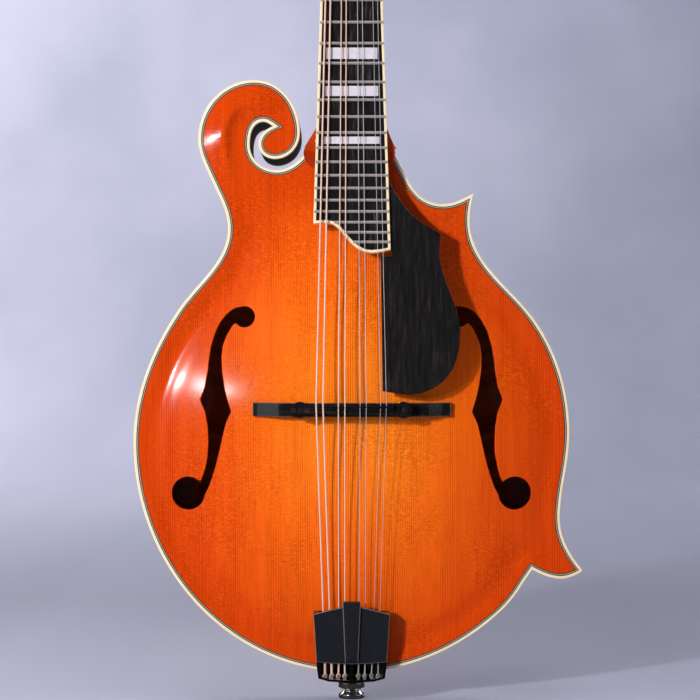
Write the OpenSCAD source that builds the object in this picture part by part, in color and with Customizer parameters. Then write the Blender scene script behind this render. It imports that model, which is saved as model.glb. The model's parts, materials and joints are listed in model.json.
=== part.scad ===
// Carved eight-string mandolin with a scroll and two points.
// The head is up along +Z, the soundboard faces -Y, and the origin is the centre
// of the strap button's outer flange, on the centreline.

/* [Body] */
// Height of the body's tail edge above the strap button's flange
tail_z = 17.3; // [15:0.1:20]
// Depth of the body over the two rims
rim_depth = 48; // [44:1:52]
// Thickness of both carved plates at the rim
plate_t = 5; // [4.6:0.2:6]
// Rise of the soundboard arch above its rim
top_arch = 15; // [11:0.5:15]
// Rise of the back arch above its rim
back_arch = 13; // [9:0.5:16]
// Thickness of the bent maple ribs
rib_t = 2.2; // [1.8:0.1:3]
// Width of the kerfed linings
lining_w = 4.8; // [3:0.2:6]
// Width of the cream binding
binding_w = 1.7; // [1.2:0.1:2.5]
// Widths of the three purfling lines inside the binding: black, grey, black
purfling_w = [0.35, 0.8, 0.3];
// Depth of the purfling channel
purfling_d = 1.5; // [1:0.1:2.5]

/* [Neck and strings] */
// Length of the open strings from nut to saddle
scale_len = 352.4; // [350:0.1:354]
// Angle between the neck and the body
neck_angle = 6; // [5.5:0.1:6.2]
// Height of the fingerboard's plane above the rim, at the saddle
board_rise = 29.5; // [29:0.1:30.5]
// Height of the body's neck edge above the tail edge
joint_z = 304; // [304:1:304]
// Fingerboard width at the nut
nut_w = 29.6; // [28:0.1:31]
// Fingerboard width at its far end
board_end_w = 44.7; // [43:0.1:45]
// Fingerboard thickness
board_t = 5; // [4:0.5:6]
// Width of the fingerboard's binding
board_binding_w = 1.6; // [1:0.1:2]
// Number of frets
fret_count = 23; // [20:1:23]
// Depth of the neck behind the fingerboard at the nut
neck_depth = 14.5; // [13:0.5:17]
// Backward tilt of the headstock
head_angle = 14; // [12:1:16]
// Thickness of the headstock's wood
head_t = 13; // [12:0.5:15]

/* [Tuners] */
// Distance from one tuning post to the next
post_pitch = 23; // [22:0.5:24]
// Sideways offset of the tuning posts from the centreline
post_x = 19; // [18:0.5:20]
// Teeth on each tuning gear
gear_teeth = 16; // [16:1:16]

/* [Bridge] */
// Length of the bridge base
bridge_len = 114; // [100:1:120]
// Distance from the centreline to each adjusting post
bridge_post_x = 29.5; // [28:0.1:31]
// Height of the strings above the rim, at the saddle
string_rise = 32; // [31.5:0.1:33]

/* [Hidden] */
$fn = 32;
big = 400;
gap = 0.05;
glue = 0.01;

// ---- Derived sizes ----
rim = rim_depth / 2;
rib_y = rim - plate_t;
purfling_total = purfling_w[0] + purfling_w[1] + purfling_w[2];
saddle_z = tail_z + 156.7;
saddle_y = -rim - string_rise;
nut_z = saddle_z + scale_len * cos(neck_angle);
nut_y = -rim - board_rise + scale_len * sin(neck_angle);
post_z0 = 36;
head_origin_z = 4.5;

// ---- Outlines: each anchor is a point with the heading of the line into it and out of it ----
function anchor(x, z, into, out) = [x, z, into, is_undef(out) ? into : out];
function heading(a) = [cos(a), sin(a)];
function turn(a, b) = abs((a - b + 900) % 360 - 180);
function reach(len, a) = len / (3 * pow(cos(min(a, 89) / 2), 2));
function bezier(a, b, c, d, t) = pow(1 - t, 3) * a + 3 * pow(1 - t, 2) * t * b
    + 3 * (1 - t) * t * t * c + pow(t, 3) * d;
function stretch(p, q, chord) =
    let (a = [p[0], p[1]], b = [q[0], q[1]], len = norm(b - a), way = atan2(b[1] - a[1], b[0] - a[0]),
        turn_a = turn(p[3], way), turn_b = turn(q[2], way),
        steps = turn_a + turn_b < 1 ? 1 : max(2, ceil(len / chord), ceil((turn_a + turn_b) / 14)))
    [for (i = [0:steps - 1]) bezier(a, a + reach(len, turn_a) * heading(p[3]),
        b - reach(len, turn_b) * heading(q[2]), b, i / steps)];
function outline(path, chord = 9) =
    [for (i = [0:len(path) - 1]) each stretch(path[i], path[(i + 1) % len(path)], chord)];
function mirrored(path) = [for (i = [len(path) - 1:-1:0])
    anchor(-path[i][0], path[i][1], 180 - path[i][3] + 180, 180 - path[i][2] + 180)];

body_path = [anchor(0, 0, 180), anchor(-127, 134, 90), anchor(-99.5, 213, 55), anchor(-72, 258.5, 90),
    anchor(-81.5, 286.5, 113.5), anchor(-89.3, 310.5, 90), anchor(-56.5, 345, 0), anchor(-30, 314, -90),
    anchor(-44.8, 298.9, 180), anchor(-54.3, 307.5, 90), anchor(-45.8, 318, 20, 145),
    anchor(-51.2, 320.6, 180), anchor(-59.2, 307, -90), anchor(-43.5, 292.6, 0),
    anchor(-28.5, 300.5, 48, 50), anchor(-25.5, 304, 50, 0), anchor(24, 304, 0, -62),
    anchor(37, 280.5, -52), anchor(53, 272.8, 0), anchor(71.4, 279.2, 28, -106),
    anchor(69, 262.5, -90), anchor(100, 213.5, -48.5), anchor(127, 139, -90),
    anchor(121.4, 89.5, -90), anchor(135, 59, -50, -155), anchor(122.5, 54.4, 180),
    anchor(105.3, 59.7, 150, -128), anchor(90, 38.5, -135)];
bowl_path = [anchor(0, 9, 180), anchor(-118, 134, 90), anchor(-63, 238, 57), anchor(0, 280, 0),
    anchor(63, 238, -57), anchor(118, 134, -90)];
bowl_centre = [0, 150];
f_hole_path = [anchor(62.6, 213.1, 0), anchor(75.5, 205.1, -55), anchor(83.6, 174.8, -84),
    anchor(87.8, 159, -62, -118), anchor(83, 134, -90), anchor(87.6, 111.2, -66, -43),
    anchor(94.9, 104.5, -43, -105), anchor(92.5, 95.4, -105, 150), anchor(83.2, 107.4, 113),
    anchor(75.5, 133.8, 103), anchor(69.7, 151.9, 122, 70), anchor(75.5, 184.2, 90),
    anchor(68.2, 202.8, 130, 145), anchor(62.2, 207, 145, 86)];
f_hole_eyes = [[62.2, 207, 6.15], [94.9, 104.5, 9.65]];
pickguard_path = [anchor(21.7, -223.7, 88, -62), anchor(34.5, -242.8, -45), anchor(51, -253.8, -27, -95),
    anchor(50.4, -267, -86), anchor(62.1, -311, -91), anchor(52, -339, -138),
    anchor(33.3, -346.4, 180), anchor(17.6, -344.4, 172, 91), anchor(16.7, -267, 91, 0),
    anchor(22.8, -267, 0, 91)];
head_half_path = [anchor(-15.4, 0.6, 180, 120), anchor(-31, 26, 84), anchor(-34.5, 104, 90),
    anchor(-38, 134, 96, -12), anchor(-15, 141, 45), anchor(0, 158, 0)];
head_path = concat(head_half_path, [for (i = [1:len(head_half_path) - 1])
    mirrored(head_half_path)[i]]);

module body_outline(inset = 0) {
    if (inset == 0) {
        polygon(outline(body_path));
    } else {
        offset(delta = -inset) polygon(outline(body_path));
    }
}

// ---- Frames: a flat shape in X and Z becomes a slab between two depths ----
module slab(front, back) {
    translate([0, back, tail_z]) rotate([90, 0, 0]) linear_extrude(back - front) children();
}

module neck_frame() {
    translate([0, nut_y, nut_z]) rotate([-neck_angle, 0, 0]) children();
}

module neck_slab(front, back) {
    neck_frame() translate([0, back, 0]) rotate([90, 0, 0]) linear_extrude(back - front) children();
}

module head_frame() {
    neck_frame() translate([0, board_t, head_origin_z]) rotate([-head_angle, 0, 0]) children();
}

module head_slab(front, back) {
    head_frame() translate([0, back, 0]) rotate([90, 0, 0]) linear_extrude(back - front) children();
}

function tilt(p, a) = [p[0], p[1] * cos(a) + p[2] * sin(a), -p[1] * sin(a) + p[2] * cos(a)];
function neck_point(p) = [0, nut_y, nut_z] + tilt(p, neck_angle);
function head_point(p) = neck_point([0, board_t, head_origin_z] + tilt(p, head_angle));

// ---- Lofts: rings with equal numbers of points, clockwise seen from the last ring's side ----
module loft(rings) {
    n = len(rings[0]);
    last = len(rings) - 1;
    polyhedron(points = [for (ring = rings) each ring],
        faces = concat([[for (i = [n - 1:-1:0]) i]], [[for (i = [0:n - 1]) last * n + i]],
            [for (k = [0:last - 1]) for (i = [0:n - 1]) let (j = (i + 1) % n, low = k * n, up = low + n)
                each [[up + i, low + i, low + j], [up + i, low + j, up + j]]]));
}

function cross_ring(p, along, r, sides) =
    let (t = along / norm(along), u = cross([1, 0, 0], t) / norm(cross([1, 0, 0], t)), v = cross(t, u))
    [for (i = [0:sides - 1]) p + r * (cos(360 * i / sides) * u - sin(360 * i / sides) * v)];
module tube(points, r, sides = 8) {
    last = len(points) - 1;
    loft([for (i = [0:last])
        cross_ring(points[i], points[min(i + 1, last)] - points[max(i - 1, 0)], r, sides)]);
}

module rod(from, to, r) {
    way = to - from;
    translate(from) rotate([0, acos(way[2] / norm(way)), atan2(way[1], way[0])])
        cylinder(h = norm(way), r = r);
}

// ---- Carved plates ----
function bowl_ring(f) = [for (p = outline(bowl_path, 16)) bowl_centre + f * (p - bowl_centre)];
function arch(f) = pow(max(0, 1 - f * f), 1.5);
arch_steps = [1, 0.95, 0.88, 0.8, 0.7, 0.6, 0.5, 0.4, 0.3, 0.2, 0.1, 0.03];

module dome(rise, foot) {
    base = [for (p = bowl_ring(1)) [p[0], p[1], -foot]];
    loft(concat([base], [for (f = arch_steps) [for (p = bowl_ring(f)) [p[0], p[1], rise * arch(f)]]]));
}

module front_dome(height, foot) {
    translate([0, -height, tail_z]) rotate([90, 0, 0]) dome(top_arch, foot);
}

module f_holes() {
    for (side = [0, 1]) {
        mirror([side, 0, 0]) {
            polygon(outline(f_hole_path));
            for (eye = f_hole_eyes) {
                translate([eye[0], eye[1]]) circle(r = eye[2]);
            }
        }
    }
}

module top_plate() {
    color("darkorange") resize([0, 0, 0]) difference() {
        union() {
            slab(-rim + purfling_d, -rib_y) body_outline(binding_w);
            slab(-rim, -rim + purfling_d) body_outline(binding_w + purfling_total);
            front_dome(rim, 1);
        }
        front_dome(rib_y, 1);
        slab(-rim - top_arch - 1, -rib_y + 1) f_holes();
    }
}

module back_plate() {
    color("sienna") resize([0, 0, 0]) difference() {
        union() {
            slab(rib_y, rim) body_outline(binding_w);
            translate([0, rim, tail_z]) mirror([0, 1, 0]) rotate([90, 0, 0]) dome(back_arch, 1);
        }
        translate([0, rib_y, tail_z]) mirror([0, 1, 0]) rotate([90, 0, 0]) dome(back_arch, 1);
    }
}

module ring_between(outer, inner) {
    difference() {
        body_outline(outer);
        body_outline(inner);
    }
}

module top_binding() {
    color("wheat") slab(-rim, -rib_y) ring_between(0, binding_w);
}

module back_binding() {
    color("wheat") slab(rib_y, rim) ring_between(0, binding_w);
}

module purfling_black() {
    outer = binding_w;
    inner = binding_w + purfling_w[0] + purfling_w[1];
    color("black") {
        slab(-rim, -rim + purfling_d) ring_between(outer, outer + purfling_w[0]);
        slab(-rim, -rim + purfling_d) ring_between(inner, inner + purfling_w[2]);
    }
}

module purfling_white() {
    outer = binding_w + purfling_w[0];
    color("gainsboro") slab(-rim, -rim + purfling_d) ring_between(outer, outer + purfling_w[1]);
}

// ---- Ribs, blocks and linings ----
tenon = [[-10, joint_z + 2], [-13, joint_z - 20], [13, joint_z - 20], [10, joint_z + 2]];
tenon_depth = 14;
tail_screws = [[-8, -10], [8, -10], [0, 12]];
tail_screw_r = 1.2;
pin_shank_r = 4;

module neck_socket() {
    slab(-rib_y, tenon_depth + gap) offset(delta = gap) polygon(tenon);
}

module tail_holes(clearance) {
    translate([0, 0, tail_z - 1]) cylinder(h = 30, r = pin_shank_r + clearance);
    for (p = tail_screws) {
        translate([p[0], p[1], tail_z - 1]) cylinder(h = 20, r = tail_screw_r + clearance);
    }
}

module ribs() {
    color("saddlebrown") difference() {
        slab(-rib_y, rib_y) ring_between(0, rib_t);
        neck_socket();
        tail_holes(gap);
    }
}

module inside_part(front, back) {
    slab(front, back) intersection() {
        body_outline(rib_t);
        children();
    }
}

module box_2d(x0, z0, x1, z1) {
    translate([x0, z0]) square([x1 - x0, z1 - z0]);
}

module block_areas() {
    box_2d(-26, 268, 22, joint_z);
    box_2d(-95, 303, -26.5, 350);
    box_2d(-34, -2, 34, 22);
    box_2d(50, 252, 80, 285);
    box_2d(98, 46, 140, 84);
}

module head_block() {
    color("burlywood") difference() {
        inside_part(-rib_y, rib_y) {
            box_2d(-26, 268, 22, joint_z);
            box_2d(-95, 303, -26.5, 350);
        }
        neck_socket();
    }
}

module tail_block() {
    color("burlywood") difference() {
        inside_part(-rib_y, rib_y) box_2d(-34, -2, 34, 22);
        tail_holes(gap);
    }
}

module point_blocks() {
    color("burlywood") {
        inside_part(-rib_y, rib_y) box_2d(50, 252, 80, 285);
        inside_part(-rib_y, rib_y) box_2d(98, 46, 140, 84);
    }
}

module linings() {
    lining_h = 6;
    color("tan") {
        for (front = [-rib_y, rib_y - lining_h]) {
            slab(front, front + lining_h) difference() {
                ring_between(rib_t, rib_t + lining_w);
                block_areas();
            }
        }
    }
}

module tone_bar(side) {
    lean = 8;
    intersection() {
        front_dome(rib_y, 1);
        translate([side * 24, -rib_y - top_arch - 2, tail_z + 62]) rotate([0, side * lean, 0])
            translate([-3, 0, 0]) cube([6, top_arch + 2, 150]);
    }
}

module tone_bars() {
    color("navajowhite") resize([0, 0, 0]) {
        tone_bar(1);
        tone_bar(-1);
    }
}

// ---- Neck ----
joint_local = (tail_z + joint_z - nut_z) / cos(neck_angle);
board_rate = (board_end_w - nut_w) / 262;
function board_w(z) = nut_w - z * board_rate;
function shaft_depth(z) = neck_depth + min(3, -z / 60);
cap_y = rim - 2.4;
heel_cap_path = [anchor(-13, joint_z, 180, 90), anchor(0, joint_z + 17, 0), anchor(13, joint_z, -90, 180)];

function shaft_ring(z) =
    let (w = board_w(z) / 2, d = shaft_depth(z))
    [[-w, board_t - 1, z], for (i = [0:18]) [-w * cos(10 * i), board_t + d * pow(sin(10 * i), 0.85), z],
        [w, board_t - 1, z]];

// The heel is a stack of tongues: wide, long and flared at its foot under the fingerboard, narrow and
// round at its cap.
function heel_ring(t) =
    let (h = -cap_y + t * (cap_y + rim + 12), w = 13 + 14 * pow(t, 1.3), flare = 0.9 + 2.1 * t * t,
        tongue = 17 + 30 * pow(min(t / 0.6, 1), 3))
    [[-w, joint_z - 1, h], for (i = [0:20]) [-w * cos(9 * i), joint_z + tongue * pow(sin(9 * i), flare), h],
        [w, joint_z - 1, h]];

module cheeks() {
    cheek_path = [anchor(-19, 292.5, 180), anchor(-27.8, 301.5, 90), anchor(-26.7, 305.8, 75, 59),
        anchor(-19, 318.6, 59, 0), anchor(19, 315.5, 0, -62), anchor(24.2, 305.5, -62, -75),
        anchor(25.2, 301.5, -90), anchor(19, 292.5, 180, 180)];
    slab(-rim - 14, -rim) polygon(outline(cheek_path));
}

module pegs_and_pocket() {
    for (side = [-1, 1]) {
        for (k = [0:3]) {
            head_frame() translate([side * post_x, -5, post_z0 + k * post_pitch]) rotate([-90, 0, 0])
                cylinder(h = 12, r = bushing_r + 0.1);
            head_frame() translate([side * post_x, -5, post_z0 + k * post_pitch]) rotate([-90, 0, 0])
                cylinder(h = 30, r = post_r + 0.4);
        }
    }
    neck_frame() translate([-4.2, board_t - 3, 6]) cube([8.4, 14, 16]);
    screw_places() cylinder(h = 12, r = screw_r + 0.15, center = true, $fn = 16);
}

module neck() {
    color("firebrick") resize([0, 0, 0]) difference() {
        union() {
            difference() {
                union() {
                    neck_frame() loft([for (z = [joint_local - 6, -180, -150, -110, -70, -30, -10, 0, 12])
                        shaft_ring(z)]);
                    translate([0, 0, tail_z]) rotate([90, 0, 0]) loft([for (k = [0:14]) heel_ring(k / 14)]);
                }
                translate([-big / 2, -big / 2, tail_z + joint_z - 40]) cube([big, big, 40]);
            }
            difference() {
                cheeks();
                pickguard_room();
            }
            slab(-rib_y + gap, tenon_depth) polygon(tenon);
            head_slab(-1, head_t) polygon(outline(head_path));
        }
        neck_frame() translate([-big / 2, board_t - big, -big]) cube([big, big, big + 6]);
        head_frame() translate([-big / 2, -big, 0.5]) cube([big, big, big]);
        neck_frame() translate([-2.6, board_t - 1, joint_local + 8]) cube([5.2, 10, -joint_local]);
        pegs_and_pocket();
    }
}

module pickguard_room() {
    neck_slab(1, board_t + 1.5) offset(delta = 0.6) polygon(outline(pickguard_path));
}

module heel_cap() {
    color("ivory") slab(cap_y, rim) polygon(outline(heel_cap_path));
}

module truss_rod() {
    color("slategray") neck_frame() translate([0, board_t + 6.3, 0]) {
        translate([0, 0, joint_local + 9]) cylinder(h = -joint_local - 4, r = 2.4);
        cylinder(h = 16, r = 1.55);
    }
}

module truss_rod_nut() {
    color("goldenrod") neck_frame() translate([0, board_t + 6.3, 8]) difference() {
        cylinder(h = 7, r = 3.3, $fn = 6);
        translate([0, 0, -1]) cylinder(h = 9, r = 1.6);
    }
}

// ---- Fingerboard ----
function fret_z(n) = -scale_len * (1 - pow(2, -n / 12));
board_left_z = -248.4;
board_right_z = -263.5;
board_path = [anchor(-nut_w / 2, 0, 88.35, 0), anchor(nut_w / 2, 0, 0, -88.35),
    anchor(board_w(board_right_z) / 2, board_right_z, -88.35, -168), anchor(11.2, -265.3, 180),
    anchor(-3.6, -255.8, 128), anchor(-14, -247.8, 178),
    anchor(-board_w(board_left_z) / 2, board_left_z, 186, 88.35)];
// Left ends of the frets that stop at the end's curve
short_fret_x = [-10.2, -4.6, 0.6];
inlay_frets = [3, 5, 7, 10, 12, 15];
dot_frets = [3, 5, 7, 10, 12, 12, 15];
inlay_t = 1.2;

module board_shape(inset) {
    offset(delta = -inset) polygon(outline(board_path));
    translate([-nut_w / 2 + inset, -4]) square([nut_w - 2 * inset, 4]);
}

function fret_left(n) = n <= 20 ? -board_w(fret_z(n)) / 2 : short_fret_x[n - 21];
function fret_right(n) = board_w(fret_z(n)) / 2;

module fret_tang(n, grow) {
    left = fret_left(n) + board_binding_w + 0.5 - grow;
    right = fret_right(n) - board_binding_w - 0.5 + grow;
    translate([left, -0.001, fret_z(n) - 0.3 - grow]) cube([right - left, 1.5 + grow, 0.6 + 2 * grow]);
}

module inlay_block(n, grow) {
    mid = (fret_z(n) + fret_z(n - 1)) / 2;
    space = fret_z(n - 1) - fret_z(n);
    width = 0.78 * board_w(mid) + 2 * grow;
    height = (n == 15 ? 0.48 : 0.57) * space + 2 * grow;
    translate([-width / 2, -0.001, mid - height / 2]) cube([width, inlay_t + grow, height]);
}

module side_dot_holes(grow) {
    for (i = [0:len(dot_frets) - 1]) {
        n = dot_frets[i];
        shift = n == 12 ? (i % 2 == 0 ? -2 : 2) : 0;
        mid = (fret_z(n) + fret_z(n - 1)) / 2 + shift;
        translate([-board_w(mid) / 2 - 0.3, board_t / 2, mid]) rotate([0, 90, 0])
            cylinder(h = 1.1 + grow, r = 0.9 + grow, $fn = 16);
    }
}

module fingerboard() {
    color("#241c1a") difference() {
        neck_slab(0, board_t - glue) intersection() {
            board_shape(board_binding_w);
            box_2d(-50, -300, 50, 0);
        }
        neck_frame() {
            for (n = [1:fret_count]) {
                fret_tang(n, 0.02);
            }
            for (n = inlay_frets) {
                inlay_block(n, 0.01);
            }
        }
    }
}

module fingerboard_binding() {
    color("wheat") difference() {
        neck_slab(0, board_t - glue) difference() {
            intersection() {
                board_shape(0);
                box_2d(-50, -300, 50, 0);
            }
            board_shape(board_binding_w);
        }
        neck_frame() side_dot_holes(0.01);
    }
}

module frets() {
    crown_r = 0.85;
    color("silver") neck_frame() for (n = [1:fret_count]) {
        fret_tang(n, 0);
        translate([fret_left(n) + 0.25, 0, fret_z(n)]) rotate([0, 90, 0])
            linear_extrude(fret_right(n) - fret_left(n) - 0.5)
            polygon([for (i = [0:8]) [crown_r * cos(22.5 * i), -0.95 * crown_r * sin(22.5 * i)]]);
    }
}

module inlays() {
    color("white") neck_frame() {
        for (n = inlay_frets) {
            inlay_block(n, 0);
        }
        side_dot_holes(0);
    }
}

// ---- Strings ----
// Each string: x at the tailpiece, x at the saddle, x at the nut, radius, post side, post number
string_rows = [[-15.3, -20.1, -12.6, 0.5, -1, 0], [-11.6, -16.2, -10.2, 0.5, -1, 1],
    [-7.4, -7.5, -5.1, 0.33, -1, 2], [-3.9, -3.8, -2.7, 0.33, -1, 3],
    [4.1, 4.8, 2.7, 0.2, 1, 3], [7.8, 8.3, 5.1, 0.2, 1, 2],
    [11.9, 16.4, 10.2, 0.15, 1, 1], [15.4, 19.7, 12.6, 0.15, 1, 0]];
tail_angle = 9.2;
tail_origin = [0, -rim - 6.5, tail_z];
function tail_point(p) = tail_origin + tilt(p, -tail_angle);
nut_clearance = 1.15;
function nut_string_y(s) = -nut_clearance - s[3];
winding_y = -7;
winding_r = 4;

function saddle_point(s) = [s[1], saddle_y, saddle_z];
function nut_front(s) = neck_point([s[2], nut_string_y(s), 0.3]);
function nut_back(s) = neck_point([s[2], nut_string_y(s) + 0.1, 4.7]);
function winding_touch(s) =
    head_point([s[4] * (post_x - winding_r - s[3] - 0.1), winding_y, post_z0 + s[5] * post_pitch]);
function tail_hook(s) = tail_point([s[0], 0, 2.4]);
function toward(a, b, d) = a + d * (b - a) / norm(b - a);

module string_line(s) {
    saddle = saddle_point(s);
    tube([tail_hook(s), toward(saddle, tail_hook(s), 4), saddle, toward(saddle, nut_front(s), 4),
        nut_front(s), nut_back(s), winding_touch(s)], s[3]);
}

module string_room(s) {
    saddle = saddle_point(s);
    rod(toward(saddle, tail_hook(s), 8), toward(saddle, tail_hook(s), -0.3), s[3] + 0.12);
    rod(toward(saddle, nut_front(s), -0.3), toward(saddle, nut_front(s), 8), s[3] + 0.14);
}

module nut_room(s) {
    drop = nut_string_y(s);
    rod(neck_point([s[2], drop - 0.05, -1]), neck_point([s[2], drop + 0.12, 6]), s[3] + 0.12);
}

module string_pair(first, tint) {
    color(tint) {
        string_line(string_rows[first]);
        string_line(string_rows[first + 1]);
    }
}

module nut() {
    color("ivory") difference() {
        neck_slab(-2.1, board_t - glue) box_2d(-nut_w / 2, 0.01, nut_w / 2, 5);
        for (s = string_rows) {
            nut_room(s);
        }
    }
}

// ---- Headstock ----
overlay_t = 1.6;
head_binding_w = 1.4;
cover_path = [anchor(-9, 1.2, 180, 90), anchor(-6, 16, 75), anchor(0, 25, 0), anchor(6, 16, -75),
    anchor(9, 1.2, -90, 180)];

module headstock_overlay() {
    color("#181416") difference() {
        head_slab(-overlay_t, -glue) difference() {
            offset(delta = -head_binding_w) polygon(outline(head_path));
            box_2d(-4, 2, 4, 17);
        }
        head_frame() for (side = [-1, 1]) {
            for (k = [0:3]) {
                translate([side * post_x, -5, post_z0 + k * post_pitch]) rotate([-90, 0, 0])
                    cylinder(h = 10, r = bushing_r + gap);
            }
        }
        screw_places() cylinder(h = 12, r = screw_r + gap, center = true);
    }
}

module headstock_binding() {
    color("wheat") head_slab(-overlay_t, -glue) difference() {
        polygon(outline(head_path));
        offset(delta = -head_binding_w) polygon(outline(head_path));
    }
}

module truss_rod_cover() {
    color("#1b1717") difference() {
        head_slab(-overlay_t - 1.6, -overlay_t) polygon(outline(cover_path));
        screw_places() cylinder(h = 12, r = screw_r + gap, center = true);
    }
}

// ---- Tuners: on each side a plate with four ears in pairs, four posts with gears, four worms ----
bushing_r = 4;
post_r = 3;
screw_r = 0.9;
plate_y = head_t;
gear_y = plate_y + 4.2;
gear_r = 5.2;
tooth_h = 0.45;
worm_r = 2.1;
worm_gap = 0.15;
worm_z = -(gear_r + worm_r + worm_gap);
worm_lead = 2 * PI * gear_r / gear_teeth;
worm_len = 7;
ear_x = worm_len / 2 + 0.2;
ear_t = 1.6;
journal_r = 1.5;
cover_screws = [[-6.4, 4.5], [6.4, 4.5], [0, 20.5]];

// Every small screw: plate screws at the back, cover screws at the front
module screw_places() {
    head_frame() {
        for (side = [-1, 1]) {
            for (k = [0:2]) {
                translate([side * (post_x + 6.5), plate_y + 1.2, post_z0 + (k + 0.42) * post_pitch])
                    rotate([90, 0, 0]) children();
            }
        }
        for (p = cover_screws) {
            translate([p[0], -overlay_t - 1.6, p[1]]) rotate([-90, 0, 0]) children();
        }
    }
}

module small_screws() {
    color("silver") screw_places() {
        translate([0, 0, -0.9]) cylinder(h = 0.9, r1 = 1.2, r2 = 1.7);
        cylinder(h = 5.5, r = screw_r);
    }
}

module tuner_plates() {
    color("silver") difference() {
        head_frame() for (side = [-1, 1]) {
            translate([side * post_x, 0, 0]) {
                translate([-9.5, plate_y, post_z0 - 16]) cube([19, 1.2, 3 * post_pitch + 25]);
                for (k = [0:3]) {
                    for (ear = [-1, 1]) {
                        translate([ear * (ear_x + ear_t / 2) - ear_t / 2, plate_y,
                            post_z0 + k * post_pitch + worm_z - 2.6]) cube([ear_t, 6.6, 5.2]);
                    }
                }
            }
        }
        head_frame() for (side = [-1, 1]) {
            for (k = [0:3]) {
                translate([side * post_x, plate_y - 1, post_z0 + k * post_pitch]) rotate([-90, 0, 0])
                    cylinder(h = 3, r = post_r + gap);
                translate([side * post_x - 12, gear_y, post_z0 + k * post_pitch + worm_z])
                    rotate([0, 90, 0]) cylinder(h = 24, r = journal_r + gap);
            }
        }
        screw_places() cylinder(h = 12, r = screw_r + gap, center = true);
    }
}

module post_bushings() {
    color("silver") head_frame() for (side = [-1, 1]) {
        for (k = [0:3]) {
            translate([side * post_x, 0, post_z0 + k * post_pitch]) rotate([90, 0, 0]) difference() {
                union() {
                    translate([0, 0, overlay_t]) cylinder(h = 1.1, r1 = 4.9, r2 = 4.3);
                    translate([0, 0, -6]) cylinder(h = 6.3 + overlay_t, r = bushing_r);
                }
                translate([0, 0, -8]) cylinder(h = 14, r = post_r + gap);
            }
        }
    }
}

// Tuners 1 to 4 go up the bass side, 5 to 8 up the treble side.
module tuner_place(n) {
    side = n <= 4 ? -1 : 1;
    head_frame() translate([side * post_x, 0, post_z0 + ((n - 1) % 4) * post_pitch])
        mirror([n <= 4 ? 1 : 0, 0, 0]) children();
}

module tuner_post(n) {
    tuner_place(n) {
        color("silver") difference() {
            union() {
                translate([0, -16.5, 0]) rotate([-90, 0, 0]) cylinder(h = 16.5 + gear_y - 1.4, r = post_r);
                translate([0, -17.3, 0]) rotate([-90, 0, 0]) cylinder(h = 0.8, r1 = 2.4, r2 = post_r);
                translate([0, gear_y + 1.3, 0]) rotate([-90, 0, 0]) cylinder(h = 1.2, r = 2.2);
            }
            translate([-5, -12.5, 0]) rotate([0, 90, 0]) cylinder(h = 10, r = 0.7);
        }
        color("goldenrod") translate([0, gear_y - 1.3, 0]) rotate([-90, 0, 0]) linear_extrude(2.6)
            polygon([for (i = [0:95]) (gear_r + tooth_h * cos(gear_teeth * i * 3.75)) * [cos(i * 3.75), sin(i * 3.75)]]);
        color("peru") translate([0, winding_y, 0]) rotate([-90, 0, 0]) rotate_extrude()
            translate([post_r, -1.6]) square([winding_r - post_r, 3.2]);
    }
}

module tuner_key(n) {
    stalk = 17.5;
    tuner_place(n) translate([0, gear_y, worm_z]) rotate([0, 90, 0]) {
        color("goldenrod") translate([0, 0, -worm_len / 2]) rotate(worm_phase)
            linear_extrude(worm_len, twist = -360 * worm_len / worm_lead, slices = 30, $fn = 9)
            translate([tooth_h, 0]) circle(r = worm_r, $fn = 9);
        color("silver") {
            translate([0, 0, -worm_len / 2 - 2.6]) cylinder(h = 2.6, r = journal_r);
            translate([0, 0, worm_len / 2]) cylinder(h = stalk + 6, r = journal_r);
        }
        color("ivory") translate([button_t / 2, 0, worm_len / 2 + stalk]) rotate([0, -90, 0]) difference() {
            linear_extrude(button_t) polygon(outline(button_path));
            translate([-1, 0, button_t / 2]) rotate([0, 90, 0]) cylinder(h = 7, r = journal_r);
        }
    }
}
worm_phase = 180 + 360 * (worm_len / 2) / worm_lead;
button_t = 6.6;
button_path = [anchor(0, -3, 90), anchor(0, 3, 90, 20), anchor(5.5, 7, 0), anchor(12, 0, -90),
    anchor(5.5, -7, 180), anchor(0, -3, 160, 90)];

// ---- Bridge ----
base_d = 8;
saddle_d = 7.6;
base_top = rim + top_arch + 6.6;
saddle_low = base_top + 3.3;
stud_r = 1.9;
crest_t = 2.2;
crest_shift = [0.5, 0.1, 0.5, 0.2];
crest_x = [[-24, -11.5], [-11.5, 0.5], [0.5, 12.5], [12.5, 24]];
crest_offset = 3.2;
bridge_z = saddle_z - tail_z - crest_offset;
boss_h = 4.2;
boss_r = 4.6;
// The wings of the base are scooped between these distances from the centreline
scoop_x = [39, 55];
wing_end_t = 3.4;
function top_height(x) = rim + top_arch * arch(abs(x) / 117.5);
function wing_height(x) =
    let (u = min(1, max(0, (x - scoop_x[0]) / (scoop_x[1] - scoop_x[0]))), low = top_height(x) + wing_end_t)
    low + (base_top - low) * (0.5 + 0.5 * cos(180 * u));

module bridge_studs(r, low, high) {
    for (side = [-1, 1]) {
        translate([side * bridge_post_x, -low, tail_z + bridge_z]) rotate([90, 0, 0])
            cylinder(h = high - low, r = r);
    }
}

module bridge_base() {
    half = bridge_len / 2;
    color("#1c1716") difference() {
        translate([0, 0, tail_z + bridge_z - base_d / 2]) linear_extrude(base_d)
            polygon([for (x = [-half:6:half]) [x, -top_height(x) - 0.12],
                for (x = [half:-2:scoop_x[0]]) [x, -wing_height(x)],
                for (x = [scoop_x[0]:2:half]) [-x, -wing_height(x)]]);
        bridge_studs(stud_r + gap, base_top - 5, base_top + 2);
    }
}

module bridge_posts() {
    color("silver") bridge_studs(stud_r, base_top - 5, saddle_low + boss_h - 1.2);
}

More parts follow.
